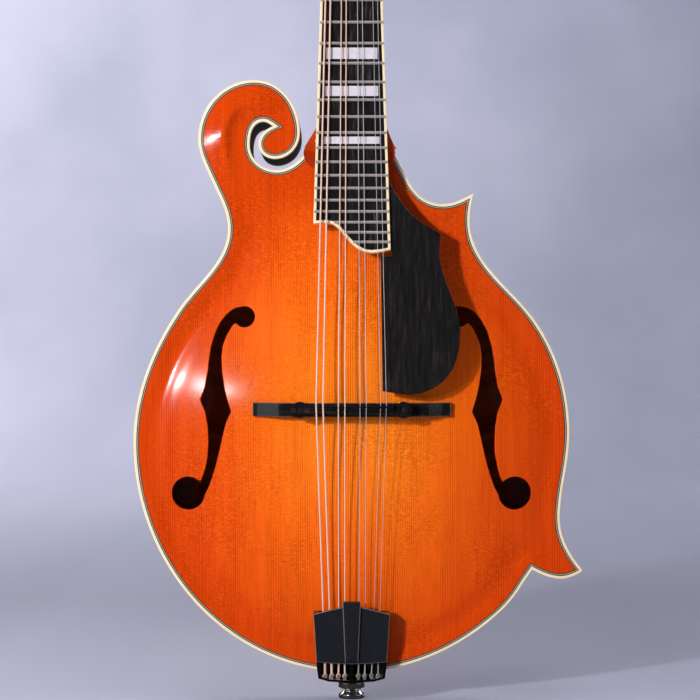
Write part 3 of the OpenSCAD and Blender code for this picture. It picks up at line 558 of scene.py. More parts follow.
class Surface:
    """A material, with short ways to add nodes to it."""

    def __init__(self, name, colour, rough, metal=0.0, coat=0.0, coat_rough=0.05, specular=None):
        if specular is None:
            specular = 0.5 - 0.45 * coat
        self.material = bpy.data.materials.new(name)
        self.material.use_nodes = True
        self.material.diffuse_color = (*colour, 1)
        self.nodes = self.material.node_tree.nodes
        self.links = self.material.node_tree.links
        self.shader = self.nodes["Principled BSDF"]
        self.fill(self.shader, {
            "Base Color": (*colour, 1), "Roughness": rough, "Metallic": metal, "Coat Weight": coat,
            "Coat Roughness": coat_rough, "IOR": 1.5, "Specular IOR Level": specular})

    def drive(self, name, output):
        """Links an output to the shader."""
        self.links.new(output, self.shader.inputs[name])

    def colour(self, output):
        self.drive("Base Color", output)

    def fill(self, node, inputs):
        """Gives each of the node's inputs its number or its link."""
        for name, value in inputs.items():
            if isinstance(value, bpy.types.NodeSocket):
                self.links.new(value, node.inputs[name])
            else:
                node.inputs[name].default_value = value
        return node

    def coordinates(self, scale=(1, 1, 1), turn=(0, 0, 0), source=None):
        """The row frame's coordinates in metres, or another vector, scaled and turned."""
        if source is None:
            source = self.nodes.new("ShaderNodeTexCoord").outputs["Object"]
        mapping = self.nodes.new("ShaderNodeMapping")
        self.fill(mapping, {"Vector": source, "Scale": scale, "Rotation": turn})
        return mapping.outputs["Vector"]

    def axes(self):
        """The row frame's coordinates, one output for each axis."""
        split = self.nodes.new("ShaderNodeSeparateXYZ")
        self.links.new(self.coordinates(), split.inputs["Vector"])
        return split.outputs

    def noise(self, at=(1, 1, 1), scale=1, detail=4, rough=0.55, distortion=0.0):
        """Noise over the coordinates scaled by at, or over another node's vector."""
        vector = self.coordinates(at) if isinstance(at, tuple) else at
        noise = self.nodes.new("ShaderNodeTexNoise")
        self.fill(noise, {"Vector": vector, "Scale": scale, "Detail": detail, "Roughness": rough,
                          "Distortion": distortion})
        return noise.outputs["Fac"]

    def wave(self, at, scale, distortion, detail, detail_scale=1, direction="X"):
        wave = self.nodes.new("ShaderNodeTexWave")
        wave.bands_direction = direction
        self.fill(wave, {"Vector": self.coordinates(at), "Scale": scale, "Distortion": distortion,
                         "Detail": detail, "Detail Scale": detail_scale})
        return wave.outputs["Fac"]

    def attribute(self, name):
        node = self.nodes.new("ShaderNodeAttribute")
        node.attribute_name = name
        return node.outputs["Fac"]

    def ramp(self, value, stops):
        ramp = self.nodes.new("ShaderNodeValToRGB")
        elements = ramp.color_ramp.elements
        while len(elements) < len(stops):
            elements.new(0.5)
        for element, (position, colour) in zip(elements, stops):
            element.position = position
            element.color = (*colour, 1)
        self.links.new(value, ramp.inputs["Fac"])
        return ramp.outputs["Color"]

    def stretched(self, value, low, high):
        """The value, moved so that low becomes 0 and high becomes 1, and kept between them."""
        span = self.nodes.new("ShaderNodeMapRange")
        self.fill(span, {"Value": value, "From Min": low, "From Max": high})
        return span.outputs["Result"]

    def mixed(self, factor, a, b, kind="MULTIPLY"):
        mix = self.nodes.new("ShaderNodeMix")
        mix.data_type = "RGBA"
        mix.blend_type = kind
        a, b = ((*colour, 1) if isinstance(colour, tuple) else colour for colour in (a, b))
        self.fill(mix, {"Factor": factor, MIX_A: a, MIX_B: b})
        return mix.outputs[MIX_RESULT]

    def maths(self, operation, a, b=0):
        node = self.nodes.new("ShaderNodeMath")
        node.operation = operation
        return self.fill(node, {0: a, 1: b}).outputs[0]

    def times(self, a, b):
        return self.maths("MULTIPLY", a, b)

    def plus(self, a, b):
        return self.maths("ADD", a, b)

    def bump(self, height, distance, strength=1.0):
        bump = self.nodes.new("ShaderNodeBump")
        self.fill(bump, {"Height": height, "Distance": distance, "Strength": strength})
        self.drive("Normal", bump.outputs["Normal"])


# ---- Woods ----


def sunburst(wood, blotchiness, stops):
    """The burst's colour from the painted attribute, made a little uneven."""
    blotch = wood.noise(scale=14, detail=2)
    shift = wood.times(wood.maths("SUBTRACT", blotch, 0.5), blotchiness)
    return wood.ramp(wood.plus(wood.attribute("burst"), shift), stops)


def spruce_material():
    """Straight grain with fine streaks, silk across it and bright spots on the silk, partly its figure and partly
    a painted sheen, under a soft varnish.
    """
    wood = Surface("spruce_burst", (0.7, 0.12, 0.01), 0.4, coat=0.55, coat_rough=0.13, specular=0)
    colour = sunburst(wood, 0.08, [
        (0.0, (0.62, 0.055, 0.002)), (0.3, (0.66, 0.065, 0.003)), (0.5, (0.74, 0.092, 0.004)),
        (0.68, (0.88, 0.148, 0.006)), (0.84, (0.94, 0.21, 0.01)), (1.0, (0.95, 0.235, 0.013))])
    rings = wood.wave((1, 1, 0.02), 240, 2.6, 3, 0.9)
    line = wood.stretched(rings, 0.5, 1.0)
    bands = wood.noise((90, 90, 1.5), detail=3)
    depth = wood.times(line, wood.stretched(bands, 0.3, 0.75))
    colour = wood.mixed(wood.times(depth, 0.95), colour, (0.56, 0.34, 0.32))
    streaks = wood.noise((420, 420, 9), rough=0.7)
    streaks = wood.times(wood.stretched(streaks, 0.42, 0.8), 0.55)
    colour = wood.mixed(streaks, colour, (0.7, 0.52, 0.45))
    patches = wood.noise(scale=22, detail=2)
    silk = wood.noise((420, 420, 1300), detail=3, rough=0.65)
    silk = wood.times(wood.stretched(silk, 0.4, 0.7), wood.stretched(patches, 0.3, 0.65))
    colour = wood.mixed(silk, colour, (0.72, 0.56, 0.5))
    # painted sheen: bright spots where the silk would shimmer in the light, partly the silk's own figure
    sheen_flecks = wood.noise(wood.coordinates((520, 520, 1500), (0.3, 0.2, 0)), detail=2)
    sheen_flecks = wood.times(wood.stretched(sheen_flecks, 0.52, 0.72), wood.stretched(patches, 0.4, 0.6))
    wood.colour(wood.mixed(sheen_flecks, colour, (1.25, 1.6, 1.4)))
    peel = wood.noise(scale=260, detail=2)
    wood.bump(wood.plus(wood.times(line, -0.6), peel), 0.014 * MM)
    return wood.material


def maple_material(name, stops, along):
    """Flamed maple under a clear varnish, with its burst from the painted attribute.

    The flame is bookmatched about the centre line, or runs with the along attribute round the ribs.
    """
    wood = Surface(name, (0.5, 0.1, 0.02), 0.3, coat=1.0)
    colour = sunburst(wood, 0.1, stops)
    axes = wood.axes()
    join = wood.nodes.new("ShaderNodeCombineXYZ")
    if along:
        wood.fill(join, {"X": axes["Y"], "Z": wood.attribute("along")})
        fibre_scale = (900, 900, 60)
    else:
        half = wood.maths("ABSOLUTE", axes["X"])
        chevron = wood.plus(axes["Z"], wood.times(half, -0.28))
        wood.fill(join, {"X": half, "Z": chevron})
        fibre_scale = (308, 308, 1320)
    run = join.outputs["Vector"]
    flame = wood.noise(wood.coordinates((11, 11, 120), source=run), detail=3, rough=0.5, distortion=0.5)
    fibre = wood.noise(wood.coordinates(fibre_scale, source=run), rough=0.7)
    stripe = wood.times(wood.stretched(flame, 0.38, 0.62), 0.75)
    dark = wood.mixed(1.0, colour, (0.52, 0.36, 0.3))
    colour = wood.mixed(stripe, dark, colour, "MIX")
    pores = wood.times(wood.stretched(fibre, 0.4, 0.8), 0.45)
    wood.colour(wood.mixed(pores, colour, (0.6, 0.42, 0.36)))
    wood.bump(wood.noise(scale=240, detail=2), 0.01 * MM)
    return wood.material


def bare_wood_material():
    wood = Surface("bare_wood", (0.3, 0.18, 0.09), 0.8)
    fibre = wood.noise((300, 300, 8), rough=0.7)
    wood.colour(wood.ramp(fibre, [
        (0.3, (0.16, 0.09, 0.045)), (0.55, (0.24, 0.14, 0.07)), (0.75, (0.34, 0.22, 0.12))]))
    wood.bump(fibre, 0.05 * MM)
    return wood.material


def ebony_material(name, rough, coat, grain, light):
    """Near-black wood with thin streaks of its lighter colour, duller where a streak runs."""
    specular = 0.3 - 0.25 * coat
    wood = Surface(name, (0.012, 0.01, 0.01), rough, coat=coat, coat_rough=0.09, specular=specular)
    streak = wood.noise(grain, rough=0.65)
    wood.colour(wood.ramp(streak, [
        (0.35, (0.004, 0.0035, 0.0035)), (0.56, (0.008, 0.007, 0.007)), (0.74, light)]))
    dullness = wood.times(wood.stretched(streak, 0.2, 0.9), 0.18)
    wood.drive("Roughness", wood.plus(dullness, rough - 0.08))
    wood.bump(streak, 0.02 * MM)
    return wood.material


# ---- Metals, plastics and pearl ----


def metal_material(name, colour, rough, metal=1.0, coat=0.0, smudge=0.12):
    """Metal with dull spots, uneven polish and fine scratches."""
    face = Surface(name, colour, rough, metal=metal, coat=coat)
    spots = face.noise(scale=320, detail=5, rough=0.7)
    spots = face.times(face.stretched(spots, 0.45, 0.8), 0.35)
    face.colour(face.mixed(spots, colour, tuple(0.62 * c + 0.03 for c in colour)))
    wide = face.noise(scale=90, detail=3)
    face.drive("Roughness", face.plus(face.times(wide, smudge), rough - smudge / 2))
    face.bump(face.noise((2600, 2600, 160), detail=2), 0.004 * MM)
    return face.material


def plastic_material(name, colour, rough, variation=0.12, scale=60):
    """Binding, purfling, nut, and the scroll slot's dark stain with painted shade: an even colour with faint age
    and wear.
    """
    face = Surface(name, colour, rough, coat=0.5, coat_rough=0.1)
    age = face.noise(scale=scale, detail=5, rough=0.65)
    yellowed = (1 - variation, 1 - 1.5 * variation, 1 - 2.6 * variation)
    face.colour(face.mixed(face.stretched(age, 0.4, 0.85), colour, yellowed))
    face.drive("Roughness", face.plus(face.times(age, 0.14), rough - 0.07))
    return face.material


def pearl_material():
    face = Surface("pearl", (0.85, 0.82, 0.8), 0.24, coat=0.8, coat_rough=0.08)
    swirl = face.noise((1, 1, 1.7), 150, detail=3, distortion=1.6)
    face.colour(face.ramp(swirl, [
        (0.25, (0.4, 0.43, 0.47)), (0.42, (0.64, 0.6, 0.62)), (0.52, (0.54, 0.56, 0.66)),
        (0.62, (0.68, 0.58, 0.62)), (0.78, (0.52, 0.62, 0.62))]))
    face.bump(swirl, 0.03 * MM)
    return face.material


def string_material(name, colour, rough, metal, wound):
    wire = Surface(name, colour, rough, metal=metal)
    spots = wire.times(wire.noise(scale=500, detail=3), 0.4)
    wire.colour(wire.mixed(spots, colour, tuple(0.6 * c for c in colour)))
    if wound:
        turns = wire.wave((1, 1, 1), 700, 0.0, 0, direction="Z")
        wire.bump(turns, 0.06 * MM, 0.7)
    return wire.material


# ---- Carved plates ----

TAIL = np.array([0, TAIL_Z])
BOWL_CENTRE = TAIL + (0, 150 * MM)


def bowl_radius(node, side, rise):
    """The carved bowl's radius in each direction, as a short Fourier series, from the node's own rings."""
    co = points_of(NODES[node])
    facing = side * np.array([v.normal.y for v in NODES[node].data.vertices])
    height = side * (co[:, 1] - RIM_Y[side])
    keep = (height > 0.04 * rise) & (height < 0.9 * rise) & (facing > 0.4)
    flat = co[keep][:, [0, 2]] - BOWL_CENTRE
    f = np.sqrt(1 - (height[keep] / rise) ** (2 / 3))
    terms = fourier_terms(np.arctan2(flat[:, 1], flat[:, 0]))
    return np.linalg.lstsq(terms, np.hypot(*flat.T) / f, rcond=None)[0]


def fourier_terms(theta, order=7):
    waves = [np.ones_like(theta)]
    for k in range(1, order + 1):
        waves += [np.cos(k * theta), np.sin(k * theta)]
    return np.stack(waves, axis=1)


def arch_height(points, series, rise):
    flat = points - BOWL_CENTRE
    radius = fourier_terms(np.arctan2(flat[:, 1], flat[:, 0])) @ series
    f = np.hypot(*flat.T) / radius
    return rise * np.clip(1 - f * f, 0, None) ** 1.5


def soft_step(value, low, high):
    t = np.clip((value - low) / (high - low), 0, 1)
    return t * t * (3 - 2 * t)


def smooth_open(p, cuts=8):
    """A smooth curve through the points."""
    out = []
    for i in range(len(p) - 1):
        before, after = p[max(i - 1, 0)], p[min(i + 2, len(p) - 1)]
        a, b = p[i], p[i + 1]
        for t in np.arange(cuts) / cuts:
            out.append(0.5 * (2 * a + (b - before) * t + (2 * before - 5 * a + 4 * b - after) * t * t
                              + (3 * a - before - 3 * b + after) * t**3))
    return np.array(out + [p[-1]])


# The scroll's carved ridge from the slot's tip round to the body, in mm from the tail edge
RIDGE_POINTS = np.array([(-50.4, 323.2), (-53, 327.8), (-58.7, 329.8), (-64.9, 328.6), (-69.6, 324.8),
                         (-72.2, 319.5), (-73.8, 312), (-73, 300), (-69, 286), (-62, 270)])
RIDGE = smooth_open(RIDGE_POINTS * MM + TAIL)
RIDGE_HEIGHT = 2.7 * MM
CREST_WIDTH = 0.8 * MM
HOLLOW_WIDTH, HOLLOW_REACH, HOLLOW_EDGE = 3.4 * MM, 12 * MM, 4 * MM
FADE_FROM, FADE_WIDTH = 9 * MM, 9 * MM


def scroll_relief(points, edge):
    """A band that climbs from the outline to a ridge, with a hollow between the ridge and the slot."""
    away = distance_to(points, RIDGE, closed=False)
    nearest = np.argmin([np.hypot(*(points - q).T) for q in RIDGE], axis=0)
    ahead = RIDGE[np.minimum(nearest + 1, len(RIDGE) - 1)] - RIDGE[np.maximum(nearest - 1, 0)]
    offset = points - RIDGE[nearest]
    inner = ahead[:, 0] * offset[:, 1] - ahead[:, 1] * offset[:, 0] > 0
    along = nearest / (len(RIDGE) - 1)
    height = RIDGE_HEIGHT * soft_step(along, -0.05, 0.2) * (1 - soft_step(along, 0.6, 1.0))
    climb = edge / (edge + away + 0.1 * MM)
    crest = 1 - 0.12 * np.exp(-away / CREST_WIDTH)
    hollow = 1.25 * np.exp(-((away / HOLLOW_WIDTH) ** 1.2)) - 0.25 * np.exp(-((away / HOLLOW_REACH) ** 2))
    hollow = hollow * soft_step(edge, 0, HOLLOW_EDGE)
    fade = np.exp(-((np.maximum(away - FADE_FROM, 0) / FADE_WIDTH) ** 2))
    return height * crest * np.where(inner, hollow, climb * fade)


GUTTER_DEPTH, GUTTER_IN, GUTTER_WIDTH = 0.9 * MM, 9 * MM, 5.5 * MM
GUTTER_ENDS_Z = TAIL_Z + 255 * MM, TAIL_Z + 285 * MM
PLATE_SPACING, HOLE_ROUND = 2.0 * MM, 0.4 * MM


def gutter_depth(points, edge):
    """The shallow channel inside the rim, which ends below the scroll and the neck."""
    depth = GUTTER_DEPTH * np.exp(-(((edge - GUTTER_IN) / GUTTER_WIDTH) ** 2)) * soft_step(edge, 0, 6 * MM)
    return depth * (1 - soft_step(points[:, 1], *GUTTER_ENDS_Z))


def carved_plate(node, side, rise, mat, thickness):
    """A carved top or back in its true outline, with its gutter, scroll relief and painted burst."""
    rim = RIM_Y[side]
    loops = smooth_outlines(node, side, rim)
    series = bowl_radius(node, side, rise)
    outline = loops[0]

    def outer(points):
        edge = distance_to(points, outline)
        carving = scroll_relief(points, edge) - gutter_depth(points, edge)
        return rim + side * (arch_height(points, series, rise) + carving)

    def inner(points):
        return rim + side * (arch_height(points, series, rise) - thickness)

    front, back = (outer, inner) if side == FRONT else (inner, outer)
    piece = slab_piece(node + "_carved", loops, front, back, PLATE_SPACING, HOLE_ROUND, False, RIDGE)
    points = points_of(piece)[:, [0, 2]]
    paint(piece, "burst", burst_value(points, distance_to(points, outline)))
    place(piece, node, mat)


def burst_value(points, edge):
    """0 at the outline to 1 in the middle of the lower bout."""
    middle = BOWL_CENTRE + (4 * MM, 0)
    spread = (118 * MM, 190 * MM)
    edge_band = 30 * MM
    out = np.hypot(*((points - middle) / spread).T)
    return np.clip(0.75 * (1 - out) + 0.25 * soft_step(edge, 0, edge_band), 0, 1)


def shifted(loop, amount):
    """The loop moved outwards by amount."""
    ahead = np.roll(loop, -1, 0) - np.roll(loop, 1, 0)
    ahead /= np.linalg.norm(ahead, axis=1)[:, None]
    out = np.column_stack([ahead[:, 1], -ahead[:, 0]])
    return loop + amount * (out if area_of(loop) > 0 else -out)


def ring_pieces(node, side, mat, depth, round_edge=0, shifts=(0, 0, 0, 0)):
    """A binding or purfling line, swept round the body in its true outline.

    shifts moves each loop outwards, so that neighbouring lines can share their width another way.
    """
    rim = RIM_Y[side]
    loops = smooth_outlines(node, side, rim)
    loops = [shifted(p, shift) if shift else p for p, shift in zip(loops, shifts)]
    for k in range(0, len(loops), 2):
        pair = loops[k:k + 2]
        ends = (level(rim), level(rim - side * depth))
        front, back = ends if side == FRONT else ends[::-1]
        piece = slab_piece(f"{node}_{k // 2 + 1}", pair, front, back, round_edge=round_edge)
        place(piece, node, mat)


def make_ribs():
    """The bent sides, with the distance round them painted on, and the scroll's slot in black: its dark stain with
    painted shade for the recess.
    """
    low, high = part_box("ribs")[0].y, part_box("ribs")[1].y
    loops = smooth_outlines("ribs", FRONT, low)
    piece = slab_piece("ribs_bent", loops, level(low), level(high))
    points = points_of(piece)[:, [0, 2]]
    outline = loops[0]
    steps = np.hypot(*(np.roll(outline, -1, axis=0) - outline).T)
    places = np.concatenate([[0], np.cumsum(steps)[:-1]])
    start = int(np.argmin(np.hypot(*(outline - TAIL).T)))
    nearest = np.array([np.argmin(np.hypot(*(outline - p).T)) for p in points])
    paint(piece, "along", (places[nearest] - places[start]) % np.sum(steps))
    paint(piece, "burst", np.full(len(points), 0.16))
    slot_low = TAIL + (-63 * MM, 289 * MM)
    slot_high = TAIL + (-26 * MM, 327 * MM)

    def in_slot(p):
        return all(slot_low < p[[0, 2]]) and all(p[[0, 2]] < slot_high)

    place(piece, "ribs", "maple_ribs")
    # the slot's walls near black: their dark stain, with painted shade for the deep recess
    second_material(piece, "black_lacquer", in_slot)


# ---- The parts ----


def make_body():
    top_rise = RIM_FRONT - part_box("top_plate")[0].y
    back_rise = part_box("back_plate")[1].y - RIM_BACK
    carved_plate("top_plate", FRONT, top_rise, "spruce", 4.6 * MM)
    carved_plate("back_plate", BACK, back_rise, "maple_back", 4.2 * MM)
    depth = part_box("top_binding")[1].y - RIM_FRONT
    ring_pieces("top_binding", FRONT, "cream_binding", depth, 0.55 * MM)
    ring_pieces("back_binding", BACK, "cream_binding", depth, 0.55 * MM)
    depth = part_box("purfling_black")[1].y - RIM_FRONT
    take = 0.13 * MM
    ring_pieces("purfling_black", FRONT, "black_line", depth, shifts=(0, -take, take, 0))
    ring_pieces("purfling_white", FRONT, "grey_line", depth, shifts=(-take, take))
    make_ribs()
    for node in ("head_block", "tail_block", "point_blocks", "linings", "tone_bars"):
        NODES[node].data.materials.clear()
        add_material(NODES[node], "bare_wood")


def make_neck():
    neck = refine("neck", "maple_neck", "maple_varnish", bevel=0, crease=38)
    z = points_of(neck)[:, 2]
    brightest_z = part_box("nut")[0].z - 90 * MM
    fade_length = 110 * MM
    middle = 1 - np.abs(z - brightest_z) / fade_length
    paint(neck, "burst", np.clip(0.18 + 0.75 * middle, 0.12, 0.95))


# The parts that need no more than a finish: what refine takes for each
NECK_PARTS = [
    ("heel_cap", "bone", "cream_binding", 0.3),
    ("truss_rod", "steel", "steel", 0),
    ("truss_rod_nut", "brass", "brass", 0.2),
    ("fingerboard", "ebony_board", "ebony", 0),
    ("fingerboard_binding", "cream_binding", "cream_binding", 0.3),
    ("frets", "fret_wire", "fret_wire", 0.12, 2, 40),
    ("inlays", "pearl", "pearl", 0),
    ("nut", "bone", "bone", 0.2),
    ("headstock_overlay", "ebony_head", "ebony", 0),
    ("headstock_binding", "cream_binding", "cream_binding", 0.2),
    ("truss_rod_cover", "ebony_head", "ebony", 0.3),
    ("small_screws", "nickel", "nickel", 0.15),
    ("tuner_plates", "nickel", "nickel", 0.2),
    ("post_bushings", "nickel", "nickel", 0.2),
]
MIDDLE_PARTS = [
    ("bridge_posts", "dark_steel", "nickel", 0.3),
    ("bridge_wheel_bass", "brass", "brass", 0.1),
    ("bridge_wheel_treble", "brass", "brass", 0.1),
    ("pickguard", "ebony_guard", "ebony", 0.35),
    ("pickguard_bracket", "nickel", "nickel", 0.1),
    ("pickguard_pins", "nickel", "nickel", 0),
]


def finish_parts(parts):
    for values in parts:
        refine(*values)


def make_tuners():
    worm_end, button_start = 22.7 * MM, 39.9 * MM
    for k in range(1, 9):
        finish_post(k)
        key = refine(f"tuner_{k}_key", "nickel", "nickel", 0, crease=40)
        second_material(key, "brass", lambda p: abs(p[0]) < worm_end)
        second_material(key, "pearl_button", lambda p: abs(p[0]) > button_start)


def finish_post(k):
    """A tuning post with its brass gear, without the plain ring that holds the winding's place."""
    joint = JOINTS[f"post_{k}_turn"]
    centre, axis = np.array(joint["pos_m"]), np.array(joint["axis"])
    post_r, ring_r, ring_at, gear_from = POST_R * MM, 4.2 * MM, WINDING_Y * MM, 14 * MM

    def along(p):
        return (np.array(p) - centre) @ axis

    def outward(p):
        flat = np.array(p) - centre
        return flat - (flat @ axis) * axis

    post = refine(f"tuner_{k}_post", "nickel", "nickel", 0.1)
    for vert in post.data.vertices:
        out = outward(vert.co)
        reach = float(np.linalg.norm(out))
        if post_r * 1.03 < reach < ring_r and abs(along(vert.co) - ring_at) < 2 * MM:
            vert.co = np.array(vert.co) - out * (1 - post_r * 1.005 / reach)
    second_material(post, "brass",
                    lambda p: along(p) > gear_from and np.linalg.norm(outward(p)) > post_r * 1.02)


def make_bridge():
    base = refine("bridge_base", "ebony_bridge", "ebony", 0.45, 3)
    saddle = refine("bridge_saddle", "ebony_saddle", "ebony", 0.35, 3, clamp=True)
    # painted highlight: lighter ebony along the rounded edges and round the bosses
    wear_and_highlight_edges(base, "worn_ebony")
    wear_and_highlight_edges(saddle, "worn_ebony")


HOOK_X = (-15.4, -11.5, -7.6, -3.9, 3.9, 7.6, 11.5, 15.4)


def is_hook(p):
    """True on the frame's hooks, in the tailpiece's own mm."""
    x, y, z = tail_local(p)
    beside_hook = any(abs(x - hook) < 0.95 for hook in HOOK_X)
    return beside_hook and -1.9 < y < 2.9 and -3.3 < z < 0.1


def make_tailpiece():
    frame_piece = refine("tailpiece_frame", "black_nickel", "nickel", 0.3, 3, clamp=True)
    second_material(frame_piece, "nickel", is_hook)
    cover = refine("tailpiece_cover", "black_cover", "black_cover", 0.3, 3)
    # the cover's rounded edges lighter: worn paint and a painted highlight
    wear_and_highlight_edges(cover, "worn_edge")
    make_wedge()
    refine("tailpiece_screws", "nickel", "nickel", 0.1)
    refine("end_pin", "bright_nickel", "nickel", 0.3, 3)


def make_wedge():
    """The raised wedge on the cover, with rounded edges and a sloping lower end."""
    foot, top, back, rise = 8.5, 44.8, -4.0, 1.8
    foot_half, top_half, round_r = 3.8, 5.3, 0.45
    end_narrows, end_sinks = 1.1, 0.35

    def half_width(z):
        return foot_half + (top_half - foot_half) * (z - foot) / (top - foot)

    heights = [foot, foot + 0.25, foot + 2.2, foot + 2.8, *np.linspace(14, 42, 8),
               top - end_narrows, top - end_sinks, top]
    rings = []
    for z in heights:
        half = half_width(z) - max(0, (z - top + end_narrows) / end_narrows) ** 2
        t = rise * min(1, 0.35 + 0.65 * (z - foot) / 2.5)
        t -= 0.5 * max(0, (z - top + end_sinks) / end_sinks) ** 2
        ring = [(half, back)]
        for a in np.radians((0, 30, 60, 90)):
            ring.append((half - round_r * (1 - math.cos(a)), back - t + round_r * (1 - math.sin(a))))
        rings.append(ring + [(-x, y) for x, y in ring[::-1]])
    count = len(rings[0])
    verts = [tuple(tail_point((x, y, z)) * MM) for ring, z in zip(rings, heights) for x, y in ring]
    faces = []
    for k in range(len(rings) - 1):
        faces += band(k * count, (k + 1) * count, count)
    faces.append(tuple(range(count))[::-1])
    faces.append(tuple(range((len(rings) - 1) * count, len(rings) * count)))
    wedge = mesh_object("tailpiece_wedge_raised", verts, faces)
    mark_sharp(wedge.data, 35)

    def on_side_edge(p):
        x, y, z = tail_local(p)
        return abs(x) > half_width(z) - 0.9 * round_r and y < back - 0.4

    place(wedge, "tailpiece_wedge", "black_cover")
    # the side edges lighter: worn paint and a painted highlight
    second_material(wedge, "worn_edge", on_side_edge)


# ---- Strings ----

# Each string in mm: x at the tailpiece, x at the saddle, x at the nut, radius, side of its post, post
STRINGS = [(-15.3, -20.1, -12.6, 0.5, -1, 0), (-11.6, -16.2, -10.2, 0.5, -1, 1),
           (-7.4, -7.5, -5.1, 0.33, -1, 2), (-3.9, -3.8, -2.7, 0.33, -1, 3),
           (4.1, 4.8, 2.7, 0.2, 1, 3), (7.8, 8.3, 5.1, 0.2, 1, 2),
           (11.9, 16.4, 10.2, 0.15, 1, 1), (15.4, 19.7, 12.6, 0.15, 1, 0)]
POST_X = 19.0
POST_Z = 36.0
POST_PITCH = 23.0
POST_R = 3.0
WINDING_Y = -7.0
WINDING_WIDTH = 2.8
TURN_STEPS = 18
HOOK_END_Z = 2.4
NUT_LIFT = 1.15
NUT_EDGES_Z = 0.3, 4.7
TAIL_CUTS, NECK_CUTS, HEAD_CUTS = 15, 31, 5


def string_points(string):
    """The string's own points: hook, saddle, the nut's two edges and where it meets its post."""
    tail_x, saddle_x, nut_x, radius, side, post = string
    nut_y = -NUT_LIFT - radius
    low_z, high_z = NUT_EDGES_Z
    post_x = side * (POST_X - POST_R - radius)
    return [tail_point((tail_x, 0, HOOK_END_Z)), SADDLE + (saddle_x, 0, 0),
            neck_point((nut_x, nut_y, low_z)), neck_point((nut_x, nut_y + 0.1, high_z)),
            head_point((post_x, winding_start(string), POST_Z + post * POST_PITCH))]


def turn_pitch(string):
    return 2.1 * string[3]


def winding_turns(string):
    return min(5, int(WINDING_WIDTH / turn_pitch(string)))


def winding_start(string):
    return WINDING_Y - winding_turns(string) * turn_pitch(string) / 2


def winding(string):
    """The string's turns round its post and the last bend into the post's hole."""
    radius, side, post = string[3:]
    steps = TURN_STEPS * winding_turns(string)
    bend_steps = 3
    bend_depth = 1.6 * radius + 0.5
    route = []
    for i in range(steps + bend_steps + 1):
        t = i / TURN_STEPS
        reach = POST_R + radius - bend_depth * max(0, i - steps) / bend_steps
        a = (math.pi if side > 0 else 0) - side * 2 * math.pi * t
        route.append(head_point((side * POST_X + reach * math.cos(a),
                                 winding_start(string) + turn_pitch(string) * t,
                                 POST_Z + post * POST_PITCH + reach * math.sin(a))))
    return route


def loop_end(string):
    """The string's end loop round its hook and the twist that closes it."""
    tail_x, radius = string[0], string[3]
    hook = min(HOOK_X, key=lambda x: abs(x - tail_x))
    loop_r = min(radius, 0.28)
    ring = [tail_point((hook + 1.15 * math.sin(a), 0.3 * math.cos(a / 2), -1.0 - 1.25 * math.cos(a)))
            for a in np.radians(np.arange(-170, 171, 20)) + math.pi]
    twist = line_between(tail_point((hook, 0, 0.3)), tail_point((tail_x, 0, 7)), 6)
    return [(ring, loop_r), (twist, radius + 0.22)]


# Each set of strings: name, its rows in STRINGS, the nodes it replaces, and its material and slot
STRING_SETS = [("wound", STRINGS[:4], ("strings_g", "strings_d"), "bronze_wire"),
               ("plain", STRINGS[4:], ("strings_a", "strings_e"), "steel_wire")]


def make_strings():
    """Strings in three runs each: tailpiece to saddle, saddle to nut, nut to post, and their windings."""
    for kind, strings, nodes, slot in STRING_SETS:
        rows = [(row, string_points(row)) for row in strings]
        tail_lines = [(line_between(p[0], p[1], TAIL_CUTS), row[3]) for row, p in rows]
        neck_lines = [(line_between(p[2], p[1], NECK_CUTS), row[3]) for row, p in rows]
        tail_run = wires(f"strings_{kind}_tail_run", tail_lines, slot)
        neck_run = wires(f"strings_{kind}_neck_run", neck_lines, slot)
        for piece, first in ((tail_run, rows[0][1][0]), (neck_run, rows[0][1][2])):
            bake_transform(piece)
            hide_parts(*nodes)
        still = [([p[2], p[3], *line_between(p[3], p[4], HEAD_CUTS)[1:]], row[3]) for row, p in rows]
        for row, _ in rows:
            still += loop_end(row)
        ends = wires(f"strings_{kind}_ends", still, slot)
        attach(ends, "instrument")
        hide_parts(*nodes)
        for row in strings:
            first_number = 1 if row[4] < 0 else 5
            number = first_number + row[5]
            coil = wires(f"tuner_{number}_winding", [(winding(row), row[3])], slot, 8)
            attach(coil, f"post_{number}")


# ---- The materials by name ----

# Flamed maples: the burst's colours from the edge to the middle
MAPLES = {
    "maple_back": [(0.0, (0.2, 0.02, 0.004)), (0.3, (0.42, 0.055, 0.006)), (0.6, (0.72, 0.15, 0.014)),
                   (1.0, (0.85, 0.27, 0.035))],
    "maple_ribs": [(0.0, (0.3, 0.035, 0.006)), (0.3, (0.42, 0.05, 0.008)), (0.6, (0.7, 0.12, 0.012)),
                   (1.0, (0.82, 0.22, 0.03))],
    "maple_neck": [(0.0, (0.48, 0.04, 0.004)), (0.3, (0.6, 0.07, 0.006)), (0.6, (0.75, 0.15, 0.014)),
                   (1.0, (0.84, 0.25, 0.03))],
}
# Ebonies: roughness, coat, the grain's scale on each axis, and the light streaks' colour
EBONIES = {
    "ebony_board": (0.4, 0.0, (700, 700, 12), (0.06, 0.05, 0.05)),
    "ebony_head": (0.2, 1.0, (700, 700, 12), (0.02, 0.017, 0.017)),
    "ebony_bridge": (0.26, 1.0, (12, 500, 500), (0.028, 0.028, 0.036)),
    "ebony_saddle": (0.28, 0.5, (12, 500, 500), (0.09, 0.035, 0.022)),
    "ebony_guard": (0.42, 0.0, (520, 520, 14), (0.03, 0.024, 0.022)),
}
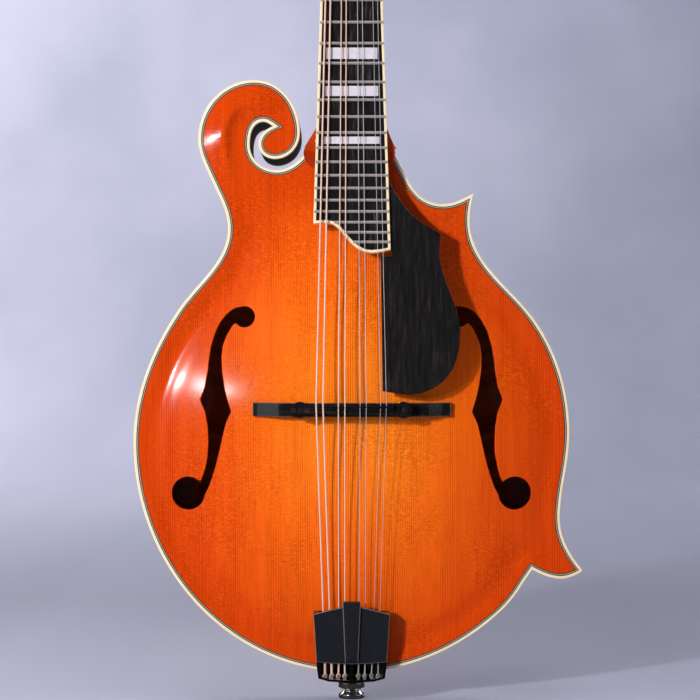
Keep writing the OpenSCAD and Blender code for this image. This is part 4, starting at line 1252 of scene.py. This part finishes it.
# Plastics and bone: colour, roughness, how much it varies, and the scale of that
PLASTICS = {
    # the scroll slot's dark stain with painted shade
    "black_lacquer": ((0.012, 0.008, 0.007), 0.45, 0.1),
    "cream_binding": ((0.85, 0.71, 0.47), 0.3),
    "black_line": ((0.006, 0.006, 0.006), 0.4, 0.02),
    "grey_line": ((0.3, 0.32, 0.28), 0.35),
    "bone": ((0.86, 0.8, 0.64), 0.36, 0.06, 120),
    "pearl_button": ((0.82, 0.8, 0.74), 0.25),
}
# Metals, dark coats, and lighter colours for rounded edges (worn paint with a painted highlight on the tailpiece,
# a painted highlight on the bridge): colour, roughness, metallic, coat and smudges
METALS = {
    "nickel": ((0.8, 0.77, 0.74), 0.18, 0.86),
    "bright_nickel": ((0.82, 0.79, 0.76), 0.12, 1.0, 0.0, 0.05),
    "fret_wire": ((0.5, 0.45, 0.43), 0.32, 0.5),
    "black_nickel": ((0.1, 0.085, 0.082), 0.24, 1.0, 0.4),
    # worn paint with a painted highlight, for the tailpiece's edges
    "worn_edge": ((0.26, 0.22, 0.2), 0.3, 0.4),
    # painted highlight, for the bridge's ebony edges
    "worn_ebony": ((0.06, 0.057, 0.064), 0.28, 0.0, 0.6),
    "dark_steel": ((0.05, 0.053, 0.06), 0.2, 0.7),
    "steel": ((0.5, 0.5, 0.5), 0.35),
    "brass": ((0.78, 0.58, 0.3), 0.22),
    "black_cover": ((0.012, 0.014, 0.018), 0.24, 0.0, 0.6),
}
# Strings: colour, roughness, metallic, and whether they are wound
WIRES = {
    "bronze_wire": ((0.95, 0.68, 0.54), 0.46, 0.25, True),
    "steel_wire": ((0.66, 0.65, 0.65), 0.4, 0.45, False),
}


def all_materials():
    made = {"spruce": spruce_material(), "bare_wood": bare_wood_material(), "pearl": pearl_material()}
    for name, stops in MAPLES.items():
        made[name] = maple_material(name, stops, along=name == "maple_ribs")
    for maker, values_of in ((ebony_material, EBONIES), (plastic_material, PLASTICS),
                             (metal_material, METALS), (string_material, WIRES)):
        made.update({name: maker(name, *values) for name, values in values_of.items()})
    return made


make_camera()
make_lights()
make_backdrop()
MATERIALS = all_materials()
make_body()
make_neck()
finish_parts(NECK_PARTS)
make_tuners()
make_bridge()
finish_parts(MIDDLE_PARTS)
make_tailpiece()
make_strings()
